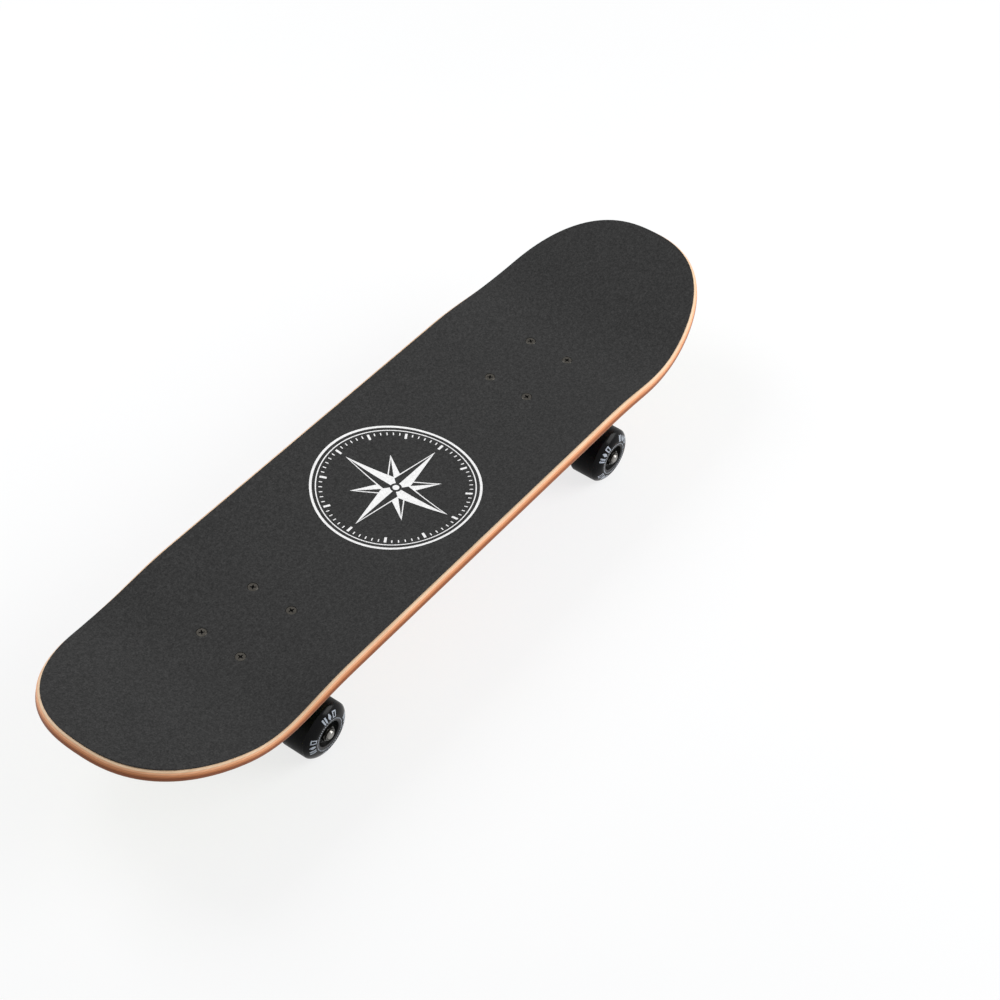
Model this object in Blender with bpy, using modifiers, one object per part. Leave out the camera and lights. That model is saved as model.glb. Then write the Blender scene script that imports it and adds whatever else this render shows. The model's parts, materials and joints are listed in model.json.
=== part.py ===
"""A double kick skateboard, as an assembly of its separate pieces.

Metres, +Z up, +X towards the nose. The board stands on its four wheels with the origin on the
floor under the middle of its box. Each truck is laid out in its own frame: origin at the centre
of its four deck bolts, on the face that meets the deck, +X towards the end of the board and +Z
up. The front truck sits in the board's frame as it is, and the rear one is turned half round.
"""

from math import atan2, cos, pi, radians, sin, tan

import bmesh
import bpy
from mathutils import Matrix, Vector

# Clearances
SEAT_GAP = 0.0003
TURNING_GAP = 0.0006

# How finely round pieces are faceted
COARSE = 10
MEDIUM = 16
FINE = 20

# How far a cutter runs past what it cuts, and what counts as one point
OVERSHOOT = 0.030
MERGE_DISTANCE = 0.00001

# Edges that shading keeps crisp, and edges of the deck that are rounded
CRISP_FROM = radians(35)
ROUNDED_FROM = radians(50)

# Deck, with its outline taken along the rim of its upper face
DECK_WIDTH = 0.2009
DECK_THICKNESS = 0.0105
EDGE_ROUNDING = 0.004
NOSE_REACH = 0.3989
TAIL_REACH = 0.3920
NOSE_CURVE_LENGTH = 0.161
TAIL_CURVE_LENGTH = 0.145
NOSE_SQUARENESS = 2.44
TAIL_SQUARENESS = 2.44
END_STEPS = 18
SIDE_STEPS = 8
NOSE_KICK_START = 0.236
TAIL_KICK_START = 0.236
NOSE_KICK_ANGLE = radians(15.9)
TAIL_KICK_ANGLE = radians(15.3)
KICK_BEND_RADIUS = 0.237
CONCAVE_RISE = 0.0107
FLAT_HALF_WIDTH = 0.010
NOSE_FADE_START = 0.1865
TAIL_FADE_START = 0.183
FADE_LENGTH = 0.120
CONCAVE_ROWS = 3

# Grip tape
GRIP_INSET = 0.0024
GRIP_THICKNESS = 0.0008

# Bolts and nuts that hold the trucks
TRUCK_SPACING = 0.394
BOLT_SPACING_ALONG = 0.0635
BOLT_SPACING_ACROSS = 0.0413
BOLT_DIAMETER = 0.0048
BOLT_LENGTH = 0.0235
BOLT_HEAD_DIAMETER = 0.0093
BOLT_HEAD_RIM = 0.0003
BOLT_HEAD_SINK = 0.0002
RECESS_LENGTH = 0.0048
RECESS_WIDTH = 0.0010
RECESS_DEPTH = 0.0016
DECK_NUT_FLATS = 0.0095
DECK_NUT_HEX_HEIGHT = 0.0042
DECK_NUT_COLLAR_HEIGHT = 0.0016
NUT_COLLAR_SHARE = 0.92

# Baseplate
PLATE_LENGTH = 0.076
PLATE_WIDTH = 0.057
PLATE_THICKNESS = 0.0045
PLATE_CORNER_RADIUS = 0.007
PLATE_EDGE_CHAMFER = 0.0010
SPINE_WIDTH = 0.030
SPINE_CHAMFER = 0.0035
SADDLE_RAMP = 0.0045
SPINE_HEIGHT = 0.0135
SPINE_SADDLE_HEIGHT = 0.0075
SPINE_INNER_END_INSET = 0.0065
SPINE_OUTER_END_INSET = 0.0030
STEP_LENGTH = 0.047
STEP_WIDTH = 0.045
STEP_HEIGHT = 0.0078
STEP_CHAMFER = 0.0020
BOSS_RADIUS = 0.0145
BOSS_CHAMFER = 0.0020
HOUSING_WALL = 0.0032
HOUSING_CROWN = 0.0016
HOUSING_CHAMFER = 0.0015
HOUSING_TRIM = 0.0006

# Kingpin and what is stacked on it, from its tip towards the deck
KINGPIN_LEAN = radians(17.0)
KINGPIN_TIP_OUTWARD = -0.0065
KINGPIN_TIP_DROP = 0.0616
KINGPIN_DIAMETER = 0.0095
KINGPIN_TIP_CHAMFER = 0.0012
KINGPIN_HEAD_FLATS = 0.0143
KINGPIN_HEAD_HEIGHT = 0.0050
KINGPIN_HEAD_DEPTH = 0.0036
KINGPIN_NUT_FLATS = 0.0143
KINGPIN_NUT_HEX_HEIGHT = 0.0062
KINGPIN_NUT_COLLAR_HEIGHT = 0.0020
NUT_FROM_TIP = 0.0016
WASHER_HEIGHT = 0.0024
WASHER_SHEET = 0.0012
ROAD_WASHER_DIAMETER = 0.0210
ROAD_BUSHING_HEIGHT = 0.0100
ROAD_BUSHING_TOP_DIAMETER = 0.0185
ROAD_BUSHING_DIAMETER = 0.0255
BOARD_BUSHING_HEIGHT = 0.0130
BOARD_BUSHING_DIAMETER = 0.0255
BOARD_WASHER_DIAMETER = 0.0270
BUSHING_EDGE_ROUNDING = 0.0014

# Hanger, whose steering axis runs from the ring's centre to the pivot's
AXLE_OUTWARD = 0.0095
AXLE_DROP = 0.0520
PIVOT_OUTWARD = 0.0265
PIVOT_DROP = 0.011
PIVOT_BALL_DIAMETER = 0.0104
PIVOT_NECK_DIAMETER = 0.0140
PIVOT_WAIST_DIAMETER = 0.0090
PIVOT_ROOT_DIAMETER = 0.0161
PIVOT_ROOT_FROM_RING = 0.0121
PIVOT_NECK_FROM_BALL = 0.0184
PIVOT_CUP_WALL = 0.0020
PIVOT_CUP_CROWN = 0.0010
PIVOT_CUP_MOUTH = 0.0030
PIVOT_CUP_CHAMFER = 0.0010
HANGER_WIDTH = 0.125
TUBE_END_DIAMETER = 0.0145
TUBE_MIDDLE_DIAMETER = 0.0170
TUBE_SHOULDER_DIAMETER = 0.0120
TUBE_END_CHAMFER = 0.0008
TUBE_SWELL_END = 0.022
RING_DIAMETER = 0.0350
RING_SEAT_THICKNESS = 0.0050
RING_WALL_HEIGHT = 0.0080
RING_CHAMFER = 0.0008
RING_BORE_DIAMETER = 0.0134
SCOOP_DIAMETER = 0.0272
WEB_HALF_SPAN = 0.052
WEB_ROOT_HALF_WIDTH = 0.0200
WEB_THICKNESS = 0.0150
WEB_NOSE_REACH = 0.0140
WEB_FLARE_STEPS = 5
GUSSET_THICKNESS = 0.0100
GUSSET_FROM_RING = 0.0146
GUSSET_FROM_BALL = 0.0136

# Axle, wheels and bearings
AXLE_DIAMETER = 0.0079
AXLE_LENGTH = 0.193
AXLE_TIP_CHAMFER = 0.0008
WHEEL_TRACK = 0.153
WHEEL_DIAMETER = 0.053
WHEEL_WIDTH = 0.036
TREAD_WIDTH = 0.0225
WHEEL_FACE_DIAMETER = 0.034
SHOULDER_DROP = 0.0032
SHOULDER_LENGTH = 0.0036
HUB_OPENING_DIAMETER = 0.025
WHEEL_SIDES = 28
BEARING_DIAMETER = 0.022
BEARING_WIDTH = 0.007
BEARING_INSET = 0.0065
BEARING_LEDGE = 0.0015
BEARING_SHIELD_INSET = 0.0005
INNER_RACE_DIAMETER = 0.0123
OUTER_RACE_INNER_DIAMETER = 0.0193
SPEED_WASHER_DIAMETER = 0.0140
SPEED_WASHER_THICKNESS = 0.0010
AXLE_NUT_FLATS = 0.0127
AXLE_NUT_HEX_HEIGHT = 0.0042
AXLE_NUT_COLLAR_HEIGHT = 0.0014

# Heights and places worked out from the sizes above
HALF_WIDTH = DECK_WIDTH / 2
TRUCK_TOP = WHEEL_DIAMETER / 2 + AXLE_DROP
DECK_UNDERSIDE = TRUCK_TOP + SEAT_GAP
DECK_TOP = DECK_UNDERSIDE + DECK_THICKNESS
GRIP_UNDERSIDE = DECK_TOP + SEAT_GAP
GRIP_TOP = GRIP_UNDERSIDE + GRIP_THICKNESS
AXLE_HOLE_RADIUS = AXLE_DIAMETER / 2 + SEAT_GAP
AXLE_CENTRE = Vector((AXLE_OUTWARD, 0, -AXLE_DROP))
PIVOT_CENTRE = Vector((PIVOT_OUTWARD, 0, -PIVOT_DROP))

KINGPIN_TIP = Vector((KINGPIN_TIP_OUTWARD, 0, -KINGPIN_TIP_DROP))
KINGPIN_DIRECTION = Vector((-sin(KINGPIN_LEAN), 0, cos(KINGPIN_LEAN)))
KINGPIN_RADIUS = KINGPIN_DIAMETER / 2
KINGPIN_HOLE_RADIUS = KINGPIN_RADIUS + SEAT_GAP
KINGPIN_TOP = KINGPIN_TIP_DROP / cos(KINGPIN_LEAN) - KINGPIN_HEAD_DEPTH
KINGPIN_NUT_HEIGHT = KINGPIN_NUT_HEX_HEIGHT + KINGPIN_NUT_COLLAR_HEIGHT
ROAD_WASHER_START = NUT_FROM_TIP + KINGPIN_NUT_HEIGHT + SEAT_GAP
ROAD_BUSHING_START = ROAD_WASHER_START + WASHER_SHEET + SEAT_GAP
RING_SEAT_START = ROAD_BUSHING_START + ROAD_BUSHING_HEIGHT + SEAT_GAP
RING_CENTRE_DISTANCE = RING_SEAT_START + RING_SEAT_THICKNESS / 2
RING_SEAT_END = RING_SEAT_START + RING_SEAT_THICKNESS
BOARD_BUSHING_START = RING_SEAT_END + SEAT_GAP
BOARD_WASHER_START = BOARD_BUSHING_START + BOARD_BUSHING_HEIGHT + SEAT_GAP
BOSS_START = BOARD_WASHER_START + WASHER_SHEET + SEAT_GAP

RING_CENTRE = KINGPIN_TIP + KINGPIN_DIRECTION * RING_CENTRE_DISTANCE
STEER_ARM = PIVOT_CENTRE - RING_CENTRE
STEER_ANGLE = atan2(STEER_ARM.z, STEER_ARM.x)
CUP_INNER_RADIUS = PIVOT_BALL_DIAMETER / 2 + SEAT_GAP
CUP_OUTER_RADIUS = CUP_INNER_RADIUS + PIVOT_CUP_WALL
CUP_END = CUP_INNER_RADIUS + PIVOT_CUP_CROWN
HOUSING_BORE_RADIUS = CUP_OUTER_RADIUS + SEAT_GAP
HOUSING_RADIUS = HOUSING_BORE_RADIUS + HOUSING_WALL

WHEEL_CENTRE_Y = WHEEL_TRACK / 2
BEARING_OUTER_FACE = WHEEL_WIDTH / 2 - BEARING_INSET
BEARING_INNER_FACE = BEARING_OUTER_FACE - BEARING_WIDTH

COLLECTION_NAME = "double_kick_skateboard"
WORKSHOP_NAME = "construction_shapes"


def collection(name):
    """A new collection in the scene."""
    made = bpy.data.collections.new(name)
    bpy.context.scene.collection.children.link(made)
    return made


def material(name, colour, roughness, metallic=0.0):
    """A Principled material of one colour, given as linear red, green and blue."""
    made = bpy.data.materials.new(name)
    made.use_nodes = True
    shader = made.node_tree.nodes["Principled BSDF"]
    shader.inputs["Base Color"].default_value = (*colour, 1.0)
    shader.inputs["Roughness"].default_value = roughness
    shader.inputs["Metallic"].default_value = metallic
    made.diffuse_color = (*colour, 1.0)
    return made


def soften(mesh):
    """Smooth shading, kept crisp at the real edges."""
    mesh.shade_smooth()
    mesh.set_sharp_from_angle(angle=CRISP_FROM)


def place(name, mesh, finish, parent, location=(0, 0, 0), turn=None):
    """One piece of the board, at its place in its parent's frame."""
    piece = bpy.data.objects.new(name, mesh)
    parts.objects.link(piece)
    if not mesh.materials:
        mesh.materials.append(finish)
    piece.parent = parent
    piece.location = location
    if turn is not None:
        piece.rotation_euler = turn.to_euler()
    return piece


def shape(name, mesh, matrix=None):
    """A construction shape, which is joined into a piece or cut out of one."""
    made = bpy.data.objects.new(name, mesh)
    workshop.objects.link(made)
    made.hide_render = True
    made.display_type = "WIRE"
    if matrix is not None:
        made.matrix_world = matrix
    return made


def mesh_of(made):
    """The finished mesh of a construction shape, in world space."""
    bpy.context.view_layer.update()
    graph = bpy.context.evaluated_depsgraph_get()
    mesh = bpy.data.meshes.new_from_object(made.evaluated_get(graph))
    mesh.transform(made.matrix_world)
    return mesh


def combined(name, first, joined=(), cut=()):
    """The first shape with others joined to it and others cut out of it, as one mesh."""
    for operation, shapes in (("UNION", joined), ("DIFFERENCE", cut)):
        for other in shapes:
            boolean = first.modifiers.new(other.name, "BOOLEAN")
            boolean.operation = operation
            boolean.solver = "EXACT"
            boolean.object = other
    mesh = mesh_of(first)
    mesh.name = name
    for used in (first, *joined, *cut):
        bpy.data.objects.remove(used)
    soften(mesh)
    return mesh


def turned(name, profile, steps, start_angle=0.0, ring=False):
    """A turned mesh about Z. The profile of (radius, height) runs down its outer side."""
    form = bmesh.new()
    points = [
        form.verts.new((r * cos(start_angle), r * sin(start_angle), z)) for r, z in profile
    ]
    for one, other in zip(points, points[1:]):
        form.edges.new((one, other))
    if ring:
        form.edges.new((points[-1], points[0]))
    outline = bpy.data.meshes.new(name)
    form.to_mesh(outline)
    form.free()
    made = shape(name, outline)
    screw = made.modifiers.new("turn", "SCREW")
    screw.axis = "Z"
    screw.steps = steps
    screw.render_steps = steps
    screw.use_merge_vertices = True
    screw.merge_threshold = MERGE_DISTANCE
    mesh = mesh_of(made)
    mesh.name = name
    bpy.data.objects.remove(made)
    soften(mesh)
    return mesh


def solid_disc(radius, low, high, steps):
    """A plain cylinder along Z between two heights."""
    return turned("disc", [(0, high), (radius, high), (radius, low), (0, low)], steps)


def prism(flats, low, high, sides=6, bevel=0.0):
    """A regular prism along Z between two heights, sized across its flats, one flat facing +X."""
    form = bmesh.new()
    bmesh.ops.create_cone(
        form,
        cap_ends=True,
        segments=sides,
        radius1=flats / 2 / cos(pi / sides),
        radius2=flats / 2 / cos(pi / sides),
        depth=high - low,
        matrix=Matrix.Translation((0, 0, (low + high) / 2)) @ Matrix.Rotation(pi / sides, 4, "Z"),
    )
    if bevel:
        bmesh.ops.bevel(form, geom=form.edges[:], offset=bevel, segments=1, affect="EDGES")
    mesh = bpy.data.meshes.new("prism")
    form.to_mesh(mesh)
    form.free()
    return mesh


def rounded_plate(length, width, thickness, corner_radius):
    """A plate under the plane z = 0, its upright corners rounded and its lower rim chamfered."""
    form = bmesh.new()
    bmesh.ops.create_cube(form, size=1.0)
    bmesh.ops.scale(form, vec=(length, width, thickness), verts=form.verts[:])
    bmesh.ops.translate(form, vec=(0, 0, -thickness / 2), verts=form.verts[:])
    upright = [e for e in form.edges if abs(e.verts[0].co.z - e.verts[1].co.z) > thickness / 2]
    bmesh.ops.bevel(form, geom=upright, offset=corner_radius, segments=3, affect="EDGES")
    lower = [e for e in form.edges if all(v.co.z < -thickness * 0.9 for v in e.verts)]
    bmesh.ops.bevel(form, geom=lower, offset=PLATE_EDGE_CHAMFER, segments=1, affect="EDGES")
    mesh = bpy.data.meshes.new("plate")
    form.to_mesh(mesh)
    form.free()
    return mesh


def slab(outline, low, high, bevel=0.0):
    """A flat outline of (x, y) points, counter-clockwise, as a solid between two heights."""
    form = bmesh.new()
    face = form.faces.new([form.verts.new((x, y, low)) for x, y in outline])
    raised = bmesh.ops.extrude_face_region(form, geom=[face])["geom"]
    moved = [v for v in raised if isinstance(v, bmesh.types.BMVert)]
    bmesh.ops.translate(form, vec=(0, 0, high - low), verts=moved)
    bmesh.ops.recalc_face_normals(form, faces=form.faces[:])
    if bevel:
        bmesh.ops.bevel(form, geom=form.edges[:], offset=bevel, segments=1, affect="EDGES")
    mesh = bpy.data.meshes.new("slab")
    form.to_mesh(mesh)
    form.free()
    return mesh


def on_kingpin(distance):
    """The frame at a distance from the kingpin's tip, with Z along the kingpin to the deck."""
    place_on_axis = Matrix.Translation(KINGPIN_TIP + KINGPIN_DIRECTION * distance)
    return place_on_axis @ Matrix.Rotation(-KINGPIN_LEAN, 4, "Y")


def on_steer_axis(point):
    """The frame at a point, with Z along the steering axis, from the ring to the pivot."""
    return Matrix.Translation(point) @ Matrix.Rotation(pi / 2 - STEER_ANGLE, 4, "Y")


def along_axle(point):
    """The frame at a point, with Z along the axle."""
    return Matrix.Translation(point) @ Matrix.Rotation(-pi / 2, 4, "X")


def sideways(point=(0, 0, 0)):
    """The frame in which an outline of (x, y) stands up as (x, z), with Z towards -Y."""
    return Matrix.Translation(point) @ Matrix.Rotation(pi / 2, 4, "X")


def quarter_circle(radius, height, steps):
    """Points from the equator of a ball up to its top, for a profile about Z."""
    turns = [pi / 2 * i / steps for i in range(steps)]
    points = [(radius * cos(a), height + radius * sin(a)) for a in turns]
    return points + [(0, height + radius)]


# The deck's surface


def kick_height(past_start, angle):
    """The rise of a kick: an arc that bends up, then a straight slope."""
    arc_length = KICK_BEND_RADIUS * sin(angle)
    if past_start <= 0:
        return 0.0
    if past_start < arc_length:
        return KICK_BEND_RADIUS - (KICK_BEND_RADIUS**2 - past_start**2) ** 0.5
    return KICK_BEND_RADIUS * (1 - cos(angle)) + (past_start - arc_length) * tan(angle)


def surface_height(x, y):
    """How far the deck's upper face lies above its middle, at x from the trucks' centre."""
    if x > 0:
        kick = kick_height(x - NOSE_KICK_START, NOSE_KICK_ANGLE)
        faded = (x - NOSE_FADE_START) / FADE_LENGTH
    else:
        kick = kick_height(-x - TAIL_KICK_START, TAIL_KICK_ANGLE)
        faded = (-x - TAIL_FADE_START) / FADE_LENGTH
    left = 1 - min(max(faded, 0.0), 1.0)
    left = left * left * (3 - 2 * left)
    across = max(abs(y) - FLAT_HALF_WIDTH, 0.0) / (HALF_WIDTH - FLAT_HALF_WIDTH)
    return kick + CONCAVE_RISE * across**2 * left


def end_curve(length, half_width, squareness):
    """Points of a rounded end about its own centre, from its +Y side round to its -Y side."""
    points = []
    for i in range(END_STEPS + 1):
        angle = pi / 2 - pi * i / END_STEPS
        across, along = abs(sin(angle)) / half_width, abs(cos(angle)) / length
        radius = (across**squareness + along**squareness) ** (-1 / squareness)
        points.append((radius * cos(angle), radius * sin(angle)))
    return points


def deck_outline(inset):
    """The deck's outline from above, drawn in by an inset, clockwise from the nose's +Y side."""
    half_width = HALF_WIDTH - inset
    nose_centre = NOSE_REACH - NOSE_CURVE_LENGTH
    tail_centre = TAIL_REACH - TAIL_CURVE_LENGTH
    nose = end_curve(NOSE_CURVE_LENGTH - inset, half_width, NOSE_SQUARENESS)
    tail = end_curve(TAIL_CURVE_LENGTH - inset, half_width, TAIL_SQUARENESS)
    step = (nose_centre + tail_centre) / SIDE_STEPS
    side = [nose_centre - step * i for i in range(1, SIDE_STEPS)]
    outline = [(nose_centre + x, y) for x, y in nose]
    outline += [(x, -half_width) for x in side]
    outline += [(-tail_centre - x, -y) for x, y in tail]
    outline += [(x, half_width) for x in reversed(side)]
    return outline


def deck_sheet(name, inset, height, thickness):
    """An open sheet on the deck's surface, made solid on one side. Below it if thickness < 0."""
    outline = deck_outline(inset)
    half_width = HALF_WIDTH - inset
    spine_nose = NOSE_REACH - HALF_WIDTH
    spine_tail = TAIL_REACH - HALF_WIDTH
    flat_share = FLAT_HALF_WIDTH / half_width
    rows = [0.0]
    rows += [flat_share + (1 - flat_share) * i / CONCAVE_ROWS for i in range(CONCAVE_ROWS + 1)]
    form = bmesh.new()
    rings = []
    for share in rows:
        ring = []
        for x, y in outline:
            spine = min(max(x, -spine_tail), spine_nose)
            at_x, at_y = spine + (x - spine) * share, y * share
            ring.append(form.verts.new((at_x, at_y, surface_height(at_x, at_y))))
        rings.append(ring)
    count = len(outline)
    for inner, outer in zip(rings, rings[1:]):
        for i in range(count):
            after = (i + 1) % count
            form.faces.new((inner[i], outer[i], outer[after], inner[after]))
    bmesh.ops.remove_doubles(form, verts=form.verts[:], dist=MERGE_DISTANCE)
    bmesh.ops.dissolve_degenerate(form, edges=form.edges[:], dist=MERGE_DISTANCE)
    bmesh.ops.recalc_face_normals(form, faces=form.faces[:])
    if sum(face.normal.z for face in form.faces) < 0:
        bmesh.ops.reverse_faces(form, faces=form.faces[:])
    mesh = bpy.data.meshes.new(name)
    form.to_mesh(mesh)
    form.free()
    made = shape(name, mesh, Matrix.Translation((0, 0, height)))
    wall = made.modifiers.new("thickness", "SOLIDIFY")
    wall.thickness = abs(thickness)
    wall.offset = 1.0 if thickness > 0 else -1.0
    return made


def bolt_places():
    """The eight deck bolts: (truck name, number, x, y) from the trucks' centre."""
    places = []
    for truck, side in (("front", 1), ("rear", -1)):
        number = 1
        for along in (1, -1):
            for across in (1, -1):
                x = side * (TRUCK_SPACING / 2 + along * BOLT_SPACING_ALONG / 2)
                places.append((truck, number, x, across * BOLT_SPACING_ACROSS / 2))
                number += 1
    return places


def bolt_head_top(x, y):
    """The height of a bolt's head, just under the grip tape's face."""
    return GRIP_TOP + surface_height(x, y) - BOLT_HEAD_SINK


def bolt_hole_shapes(clearance, upper_only):
    """Cutters for the bolts: a countersink and shank for the deck, or a wide hole for the grip."""
    head = BOLT_HEAD_DIAMETER / 2 + clearance
    shank = BOLT_DIAMETER / 2 + clearance
    rim = BOLT_HEAD_RIM + clearance
    profile = [(0, OVERSHOOT), (head, OVERSHOOT)]
    if upper_only:
        profile += [(head, -OVERSHOOT), (0, -OVERSHOOT)]
    else:
        cone = rim + head - shank
        profile += [(head, -rim), (shank, -cone), (shank, -OVERSHOOT), (0, -OVERSHOOT)]
    cutters = []
    for truck, number, x, y in bolt_places():
        mesh = turned("bolt_hole", profile, COARSE)
        at = Matrix.Translation((x, y, bolt_head_top(x, y)))
        cutters.append(shape(f"{truck}_bolt_hole_{number}", mesh, at))
    return cutters


def build_deck(board):
    deck = deck_sheet("deck", 0.0, DECK_TOP, -DECK_THICKNESS)
    rounding = deck.modifiers.new("rounded_edge", "BEVEL")
    rounding.width = EDGE_ROUNDING
    rounding.segments = 2
    rounding.limit_method = "ANGLE"
    rounding.angle_limit = ROUNDED_FROM
    mesh = combined("deck", deck, cut=bolt_hole_shapes(SEAT_GAP, upper_only=False))
    place("deck", mesh, maple, board)


def build_grip(board):
    grip = deck_sheet("grip_tape", GRIP_INSET, GRIP_UNDERSIDE, GRIP_THICKNESS)
    mesh = combined("grip_tape", grip, cut=bolt_hole_shapes(SEAT_GAP, upper_only=True))
    place("grip_tape", mesh, grit, board)


def recess_shape():
    """The cross-shaped socket of a screw head, below z = 0."""
    long, narrow = RECESS_LENGTH / 2, RECESS_WIDTH / 2
    cross = [(long, -narrow), (long, narrow), (narrow, narrow), (narrow, long)]
    cross += [(-narrow, long), (-narrow, narrow), (-long, narrow), (-long, -narrow)]
    cross += [(-narrow, -narrow), (-narrow, -long), (narrow, -long), (narrow, -narrow)]
    return shape("recess", slab(cross, -RECESS_DEPTH, RECESS_DEPTH))


def build_bolts(board):
    head, shank = BOLT_HEAD_DIAMETER / 2, BOLT_DIAMETER / 2
    cone = BOLT_HEAD_RIM + head - shank
    profile = [(0, 0), (head, 0), (head, -BOLT_HEAD_RIM), (shank, -cone)]
    profile += [(shank, -BOLT_LENGTH), (0, -BOLT_LENGTH)]
    body = shape("bolt", turned("bolt", profile, COARSE))
    mesh = combined("deck_bolt", body, cut=[recess_shape()])
    for truck, number, x, y in bolt_places():
        place(f"{truck}_deck_bolt_{number}", mesh, dark_steel, board, (x, y, bolt_head_top(x, y)))


def lock_nut(name, flats, hex_height, collar_height, hole_radius):
    """A lock nut along Z: its seat at z = 0 and its collar away from it, towards -Z."""
    hexagon = shape("hexagon", prism(flats, -hex_height, 0))
    collar_radius = flats / 2 * NUT_COLLAR_SHARE
    collar = solid_disc(collar_radius, -hex_height - collar_height, -hex_height / 2, COARSE)
    hole = solid_disc(hole_radius, -OVERSHOOT, OVERSHOOT, COARSE)
    return combined(name, hexagon, [shape("collar", collar)], [shape("hole", hole)])


def build_deck_nuts(board):
    mesh = lock_nut(
        "deck_nut",
        DECK_NUT_FLATS,
        DECK_NUT_HEX_HEIGHT,
        DECK_NUT_COLLAR_HEIGHT,
        BOLT_DIAMETER / 2 + SEAT_GAP,
    )
    seat = TRUCK_TOP - PLATE_THICKNESS - SEAT_GAP
    for truck, number, x, y in bolt_places():
        place(f"{truck}_deck_nut_{number}", mesh, dark_steel, board, (x, y, seat))


# The trucks


def housing_mesh():
    """The round housing of the pivot cup, trimmed flush inside the plate's top and outer end."""
    end = CUP_END + HOUSING_CROWN
    mouth = -PIVOT_CUP_MOUTH
    profile = [(0, end), (HOUSING_RADIUS, end), (HOUSING_RADIUS, mouth + HOUSING_CHAMFER)]
    profile += [(HOUSING_RADIUS - HOUSING_CHAMFER, mouth), (0, mouth)]
    barrel = shape("barrel", turned("housing", profile, FINE), on_steer_axis(PIVOT_CENTRE))
    block = prism(PLATE_LENGTH, 0, PLATE_LENGTH, sides=4)
    outer_end = Matrix.Translation((PLATE_LENGTH / 2 - HOUSING_TRIM, 0, 0))
    trims = [
        shape("deck_side", block, Matrix.Translation((PIVOT_OUTWARD, 0, -HOUSING_TRIM))),
        shape("outer_end", block, outer_end @ Matrix.Rotation(pi / 2, 4, "Y")),
    ]
    return combined("housing", barrel, cut=trims)


def spine_mesh():
    """The raised middle of the baseplate: high at both ends, with a saddle between them."""
    half = PLATE_LENGTH / 2
    base = -PLATE_THICKNESS / 2
    boss_x = KINGPIN_TIP_OUTWARD - (KINGPIN_TIP_DROP - SPINE_HEIGHT) * tan(KINGPIN_LEAN)
    saddle_start = boss_x + BOSS_RADIUS
    saddle_end = PIVOT_OUTWARD - HOUSING_RADIUS
    side = [(-half, base), (-half, -PLATE_THICKNESS)]
    side += [(-half + SPINE_INNER_END_INSET, -SPINE_HEIGHT), (saddle_start, -SPINE_HEIGHT)]
    side += [(saddle_start + SADDLE_RAMP, -SPINE_SADDLE_HEIGHT)]
    side += [(saddle_end, -SPINE_SADDLE_HEIGHT), (saddle_end + SADDLE_RAMP, -SPINE_HEIGHT)]
    side += [(half - SPINE_OUTER_END_INSET, -SPINE_HEIGHT), (half, -PLATE_THICKNESS)]
    side += [(half, base)]
    mesh = slab(side, -SPINE_WIDTH / 2, SPINE_WIDTH / 2)
    form = bmesh.new()
    form.from_mesh(mesh)
    below_plate = -(PLATE_THICKNESS + SPINE_SADDLE_HEIGHT) / 2
    lower = [e for e in form.edges if all(v.co.y < below_plate for v in e.verts)]
    rim = [e for e in lower if abs(e.verts[0].co.z - e.verts[1].co.z) < SPINE_WIDTH / 2]
    bmesh.ops.bevel(form, geom=rim, offset=SPINE_CHAMFER, segments=1, affect="EDGES")
    form.to_mesh(mesh)
    form.free()
    return mesh


def boss_mesh():
    """The kingpin's boss, about the kingpin, from its seat up into the plate."""
    to_plate = (KINGPIN_TIP_DROP - PLATE_THICKNESS / 2) / cos(KINGPIN_LEAN) - BOSS_START
    end = to_plate - BOSS_RADIUS * sin(KINGPIN_LEAN)
    profile = [(0, end), (BOSS_RADIUS, end), (BOSS_RADIUS, BOSS_CHAMFER)]
    profile += [(BOSS_RADIUS - BOSS_CHAMFER, 0), (0, 0)]
    return turned("boss", profile, FINE)


def baseplate_mesh():
    """The cast plate with its kingpin boss and the housing of the pivot cup."""
    plate = rounded_plate(PLATE_LENGTH, PLATE_WIDTH, PLATE_THICKNESS, PLATE_CORNER_RADIUS)
    inside = PLATE_THICKNESS / 2
    step = rounded_plate(STEP_LENGTH, STEP_WIDTH, STEP_HEIGHT - inside, STEP_CHAMFER)
    joined = [
        shape("step", step, Matrix.Translation((0, 0, -inside))),
        shape("spine", spine_mesh(), sideways()),
        shape("boss", boss_mesh(), on_kingpin(BOSS_START)),
        shape("housing", housing_mesh()),
    ]
    bore = solid_disc(HOUSING_BORE_RADIUS, -OVERSHOOT, CUP_END + SEAT_GAP, MEDIUM)
    head_seat = KINGPIN_TOP - KINGPIN_HEAD_HEIGHT - SEAT_GAP
    shank_hole = solid_disc(KINGPIN_HOLE_RADIUS, -OVERSHOOT, OVERSHOOT, MEDIUM)
    head_hole = prism(KINGPIN_HEAD_FLATS + 2 * SEAT_GAP, 0, OVERSHOOT)
    cut = [
        shape("cup_bore", bore, on_steer_axis(PIVOT_CENTRE)),
        shape("shank_hole", shank_hole, on_kingpin(head_seat)),
        shape("head_hole", head_hole, on_kingpin(head_seat)),
    ]
    bolt_hole = solid_disc(BOLT_DIAMETER / 2 + SEAT_GAP, -OVERSHOOT, OVERSHOOT, COARSE)
    pocket_radius = DECK_NUT_FLATS / 2 / cos(pi / 6) + TURNING_GAP
    nut_pocket = solid_disc(pocket_radius, -OVERSHOOT, -PLATE_THICKNESS, COARSE)
    for along in (1, -1):
        for across in (1, -1):
            spot = (along * BOLT_SPACING_ALONG / 2, across * BOLT_SPACING_ACROSS / 2, 0)
            cut.append(shape("bolt_hole", bolt_hole, Matrix.Translation(spot)))
            cut.append(shape("nut_pocket", nut_pocket, Matrix.Translation(spot)))
    return combined("baseplate", shape("plate", plate), joined, cut)


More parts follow.
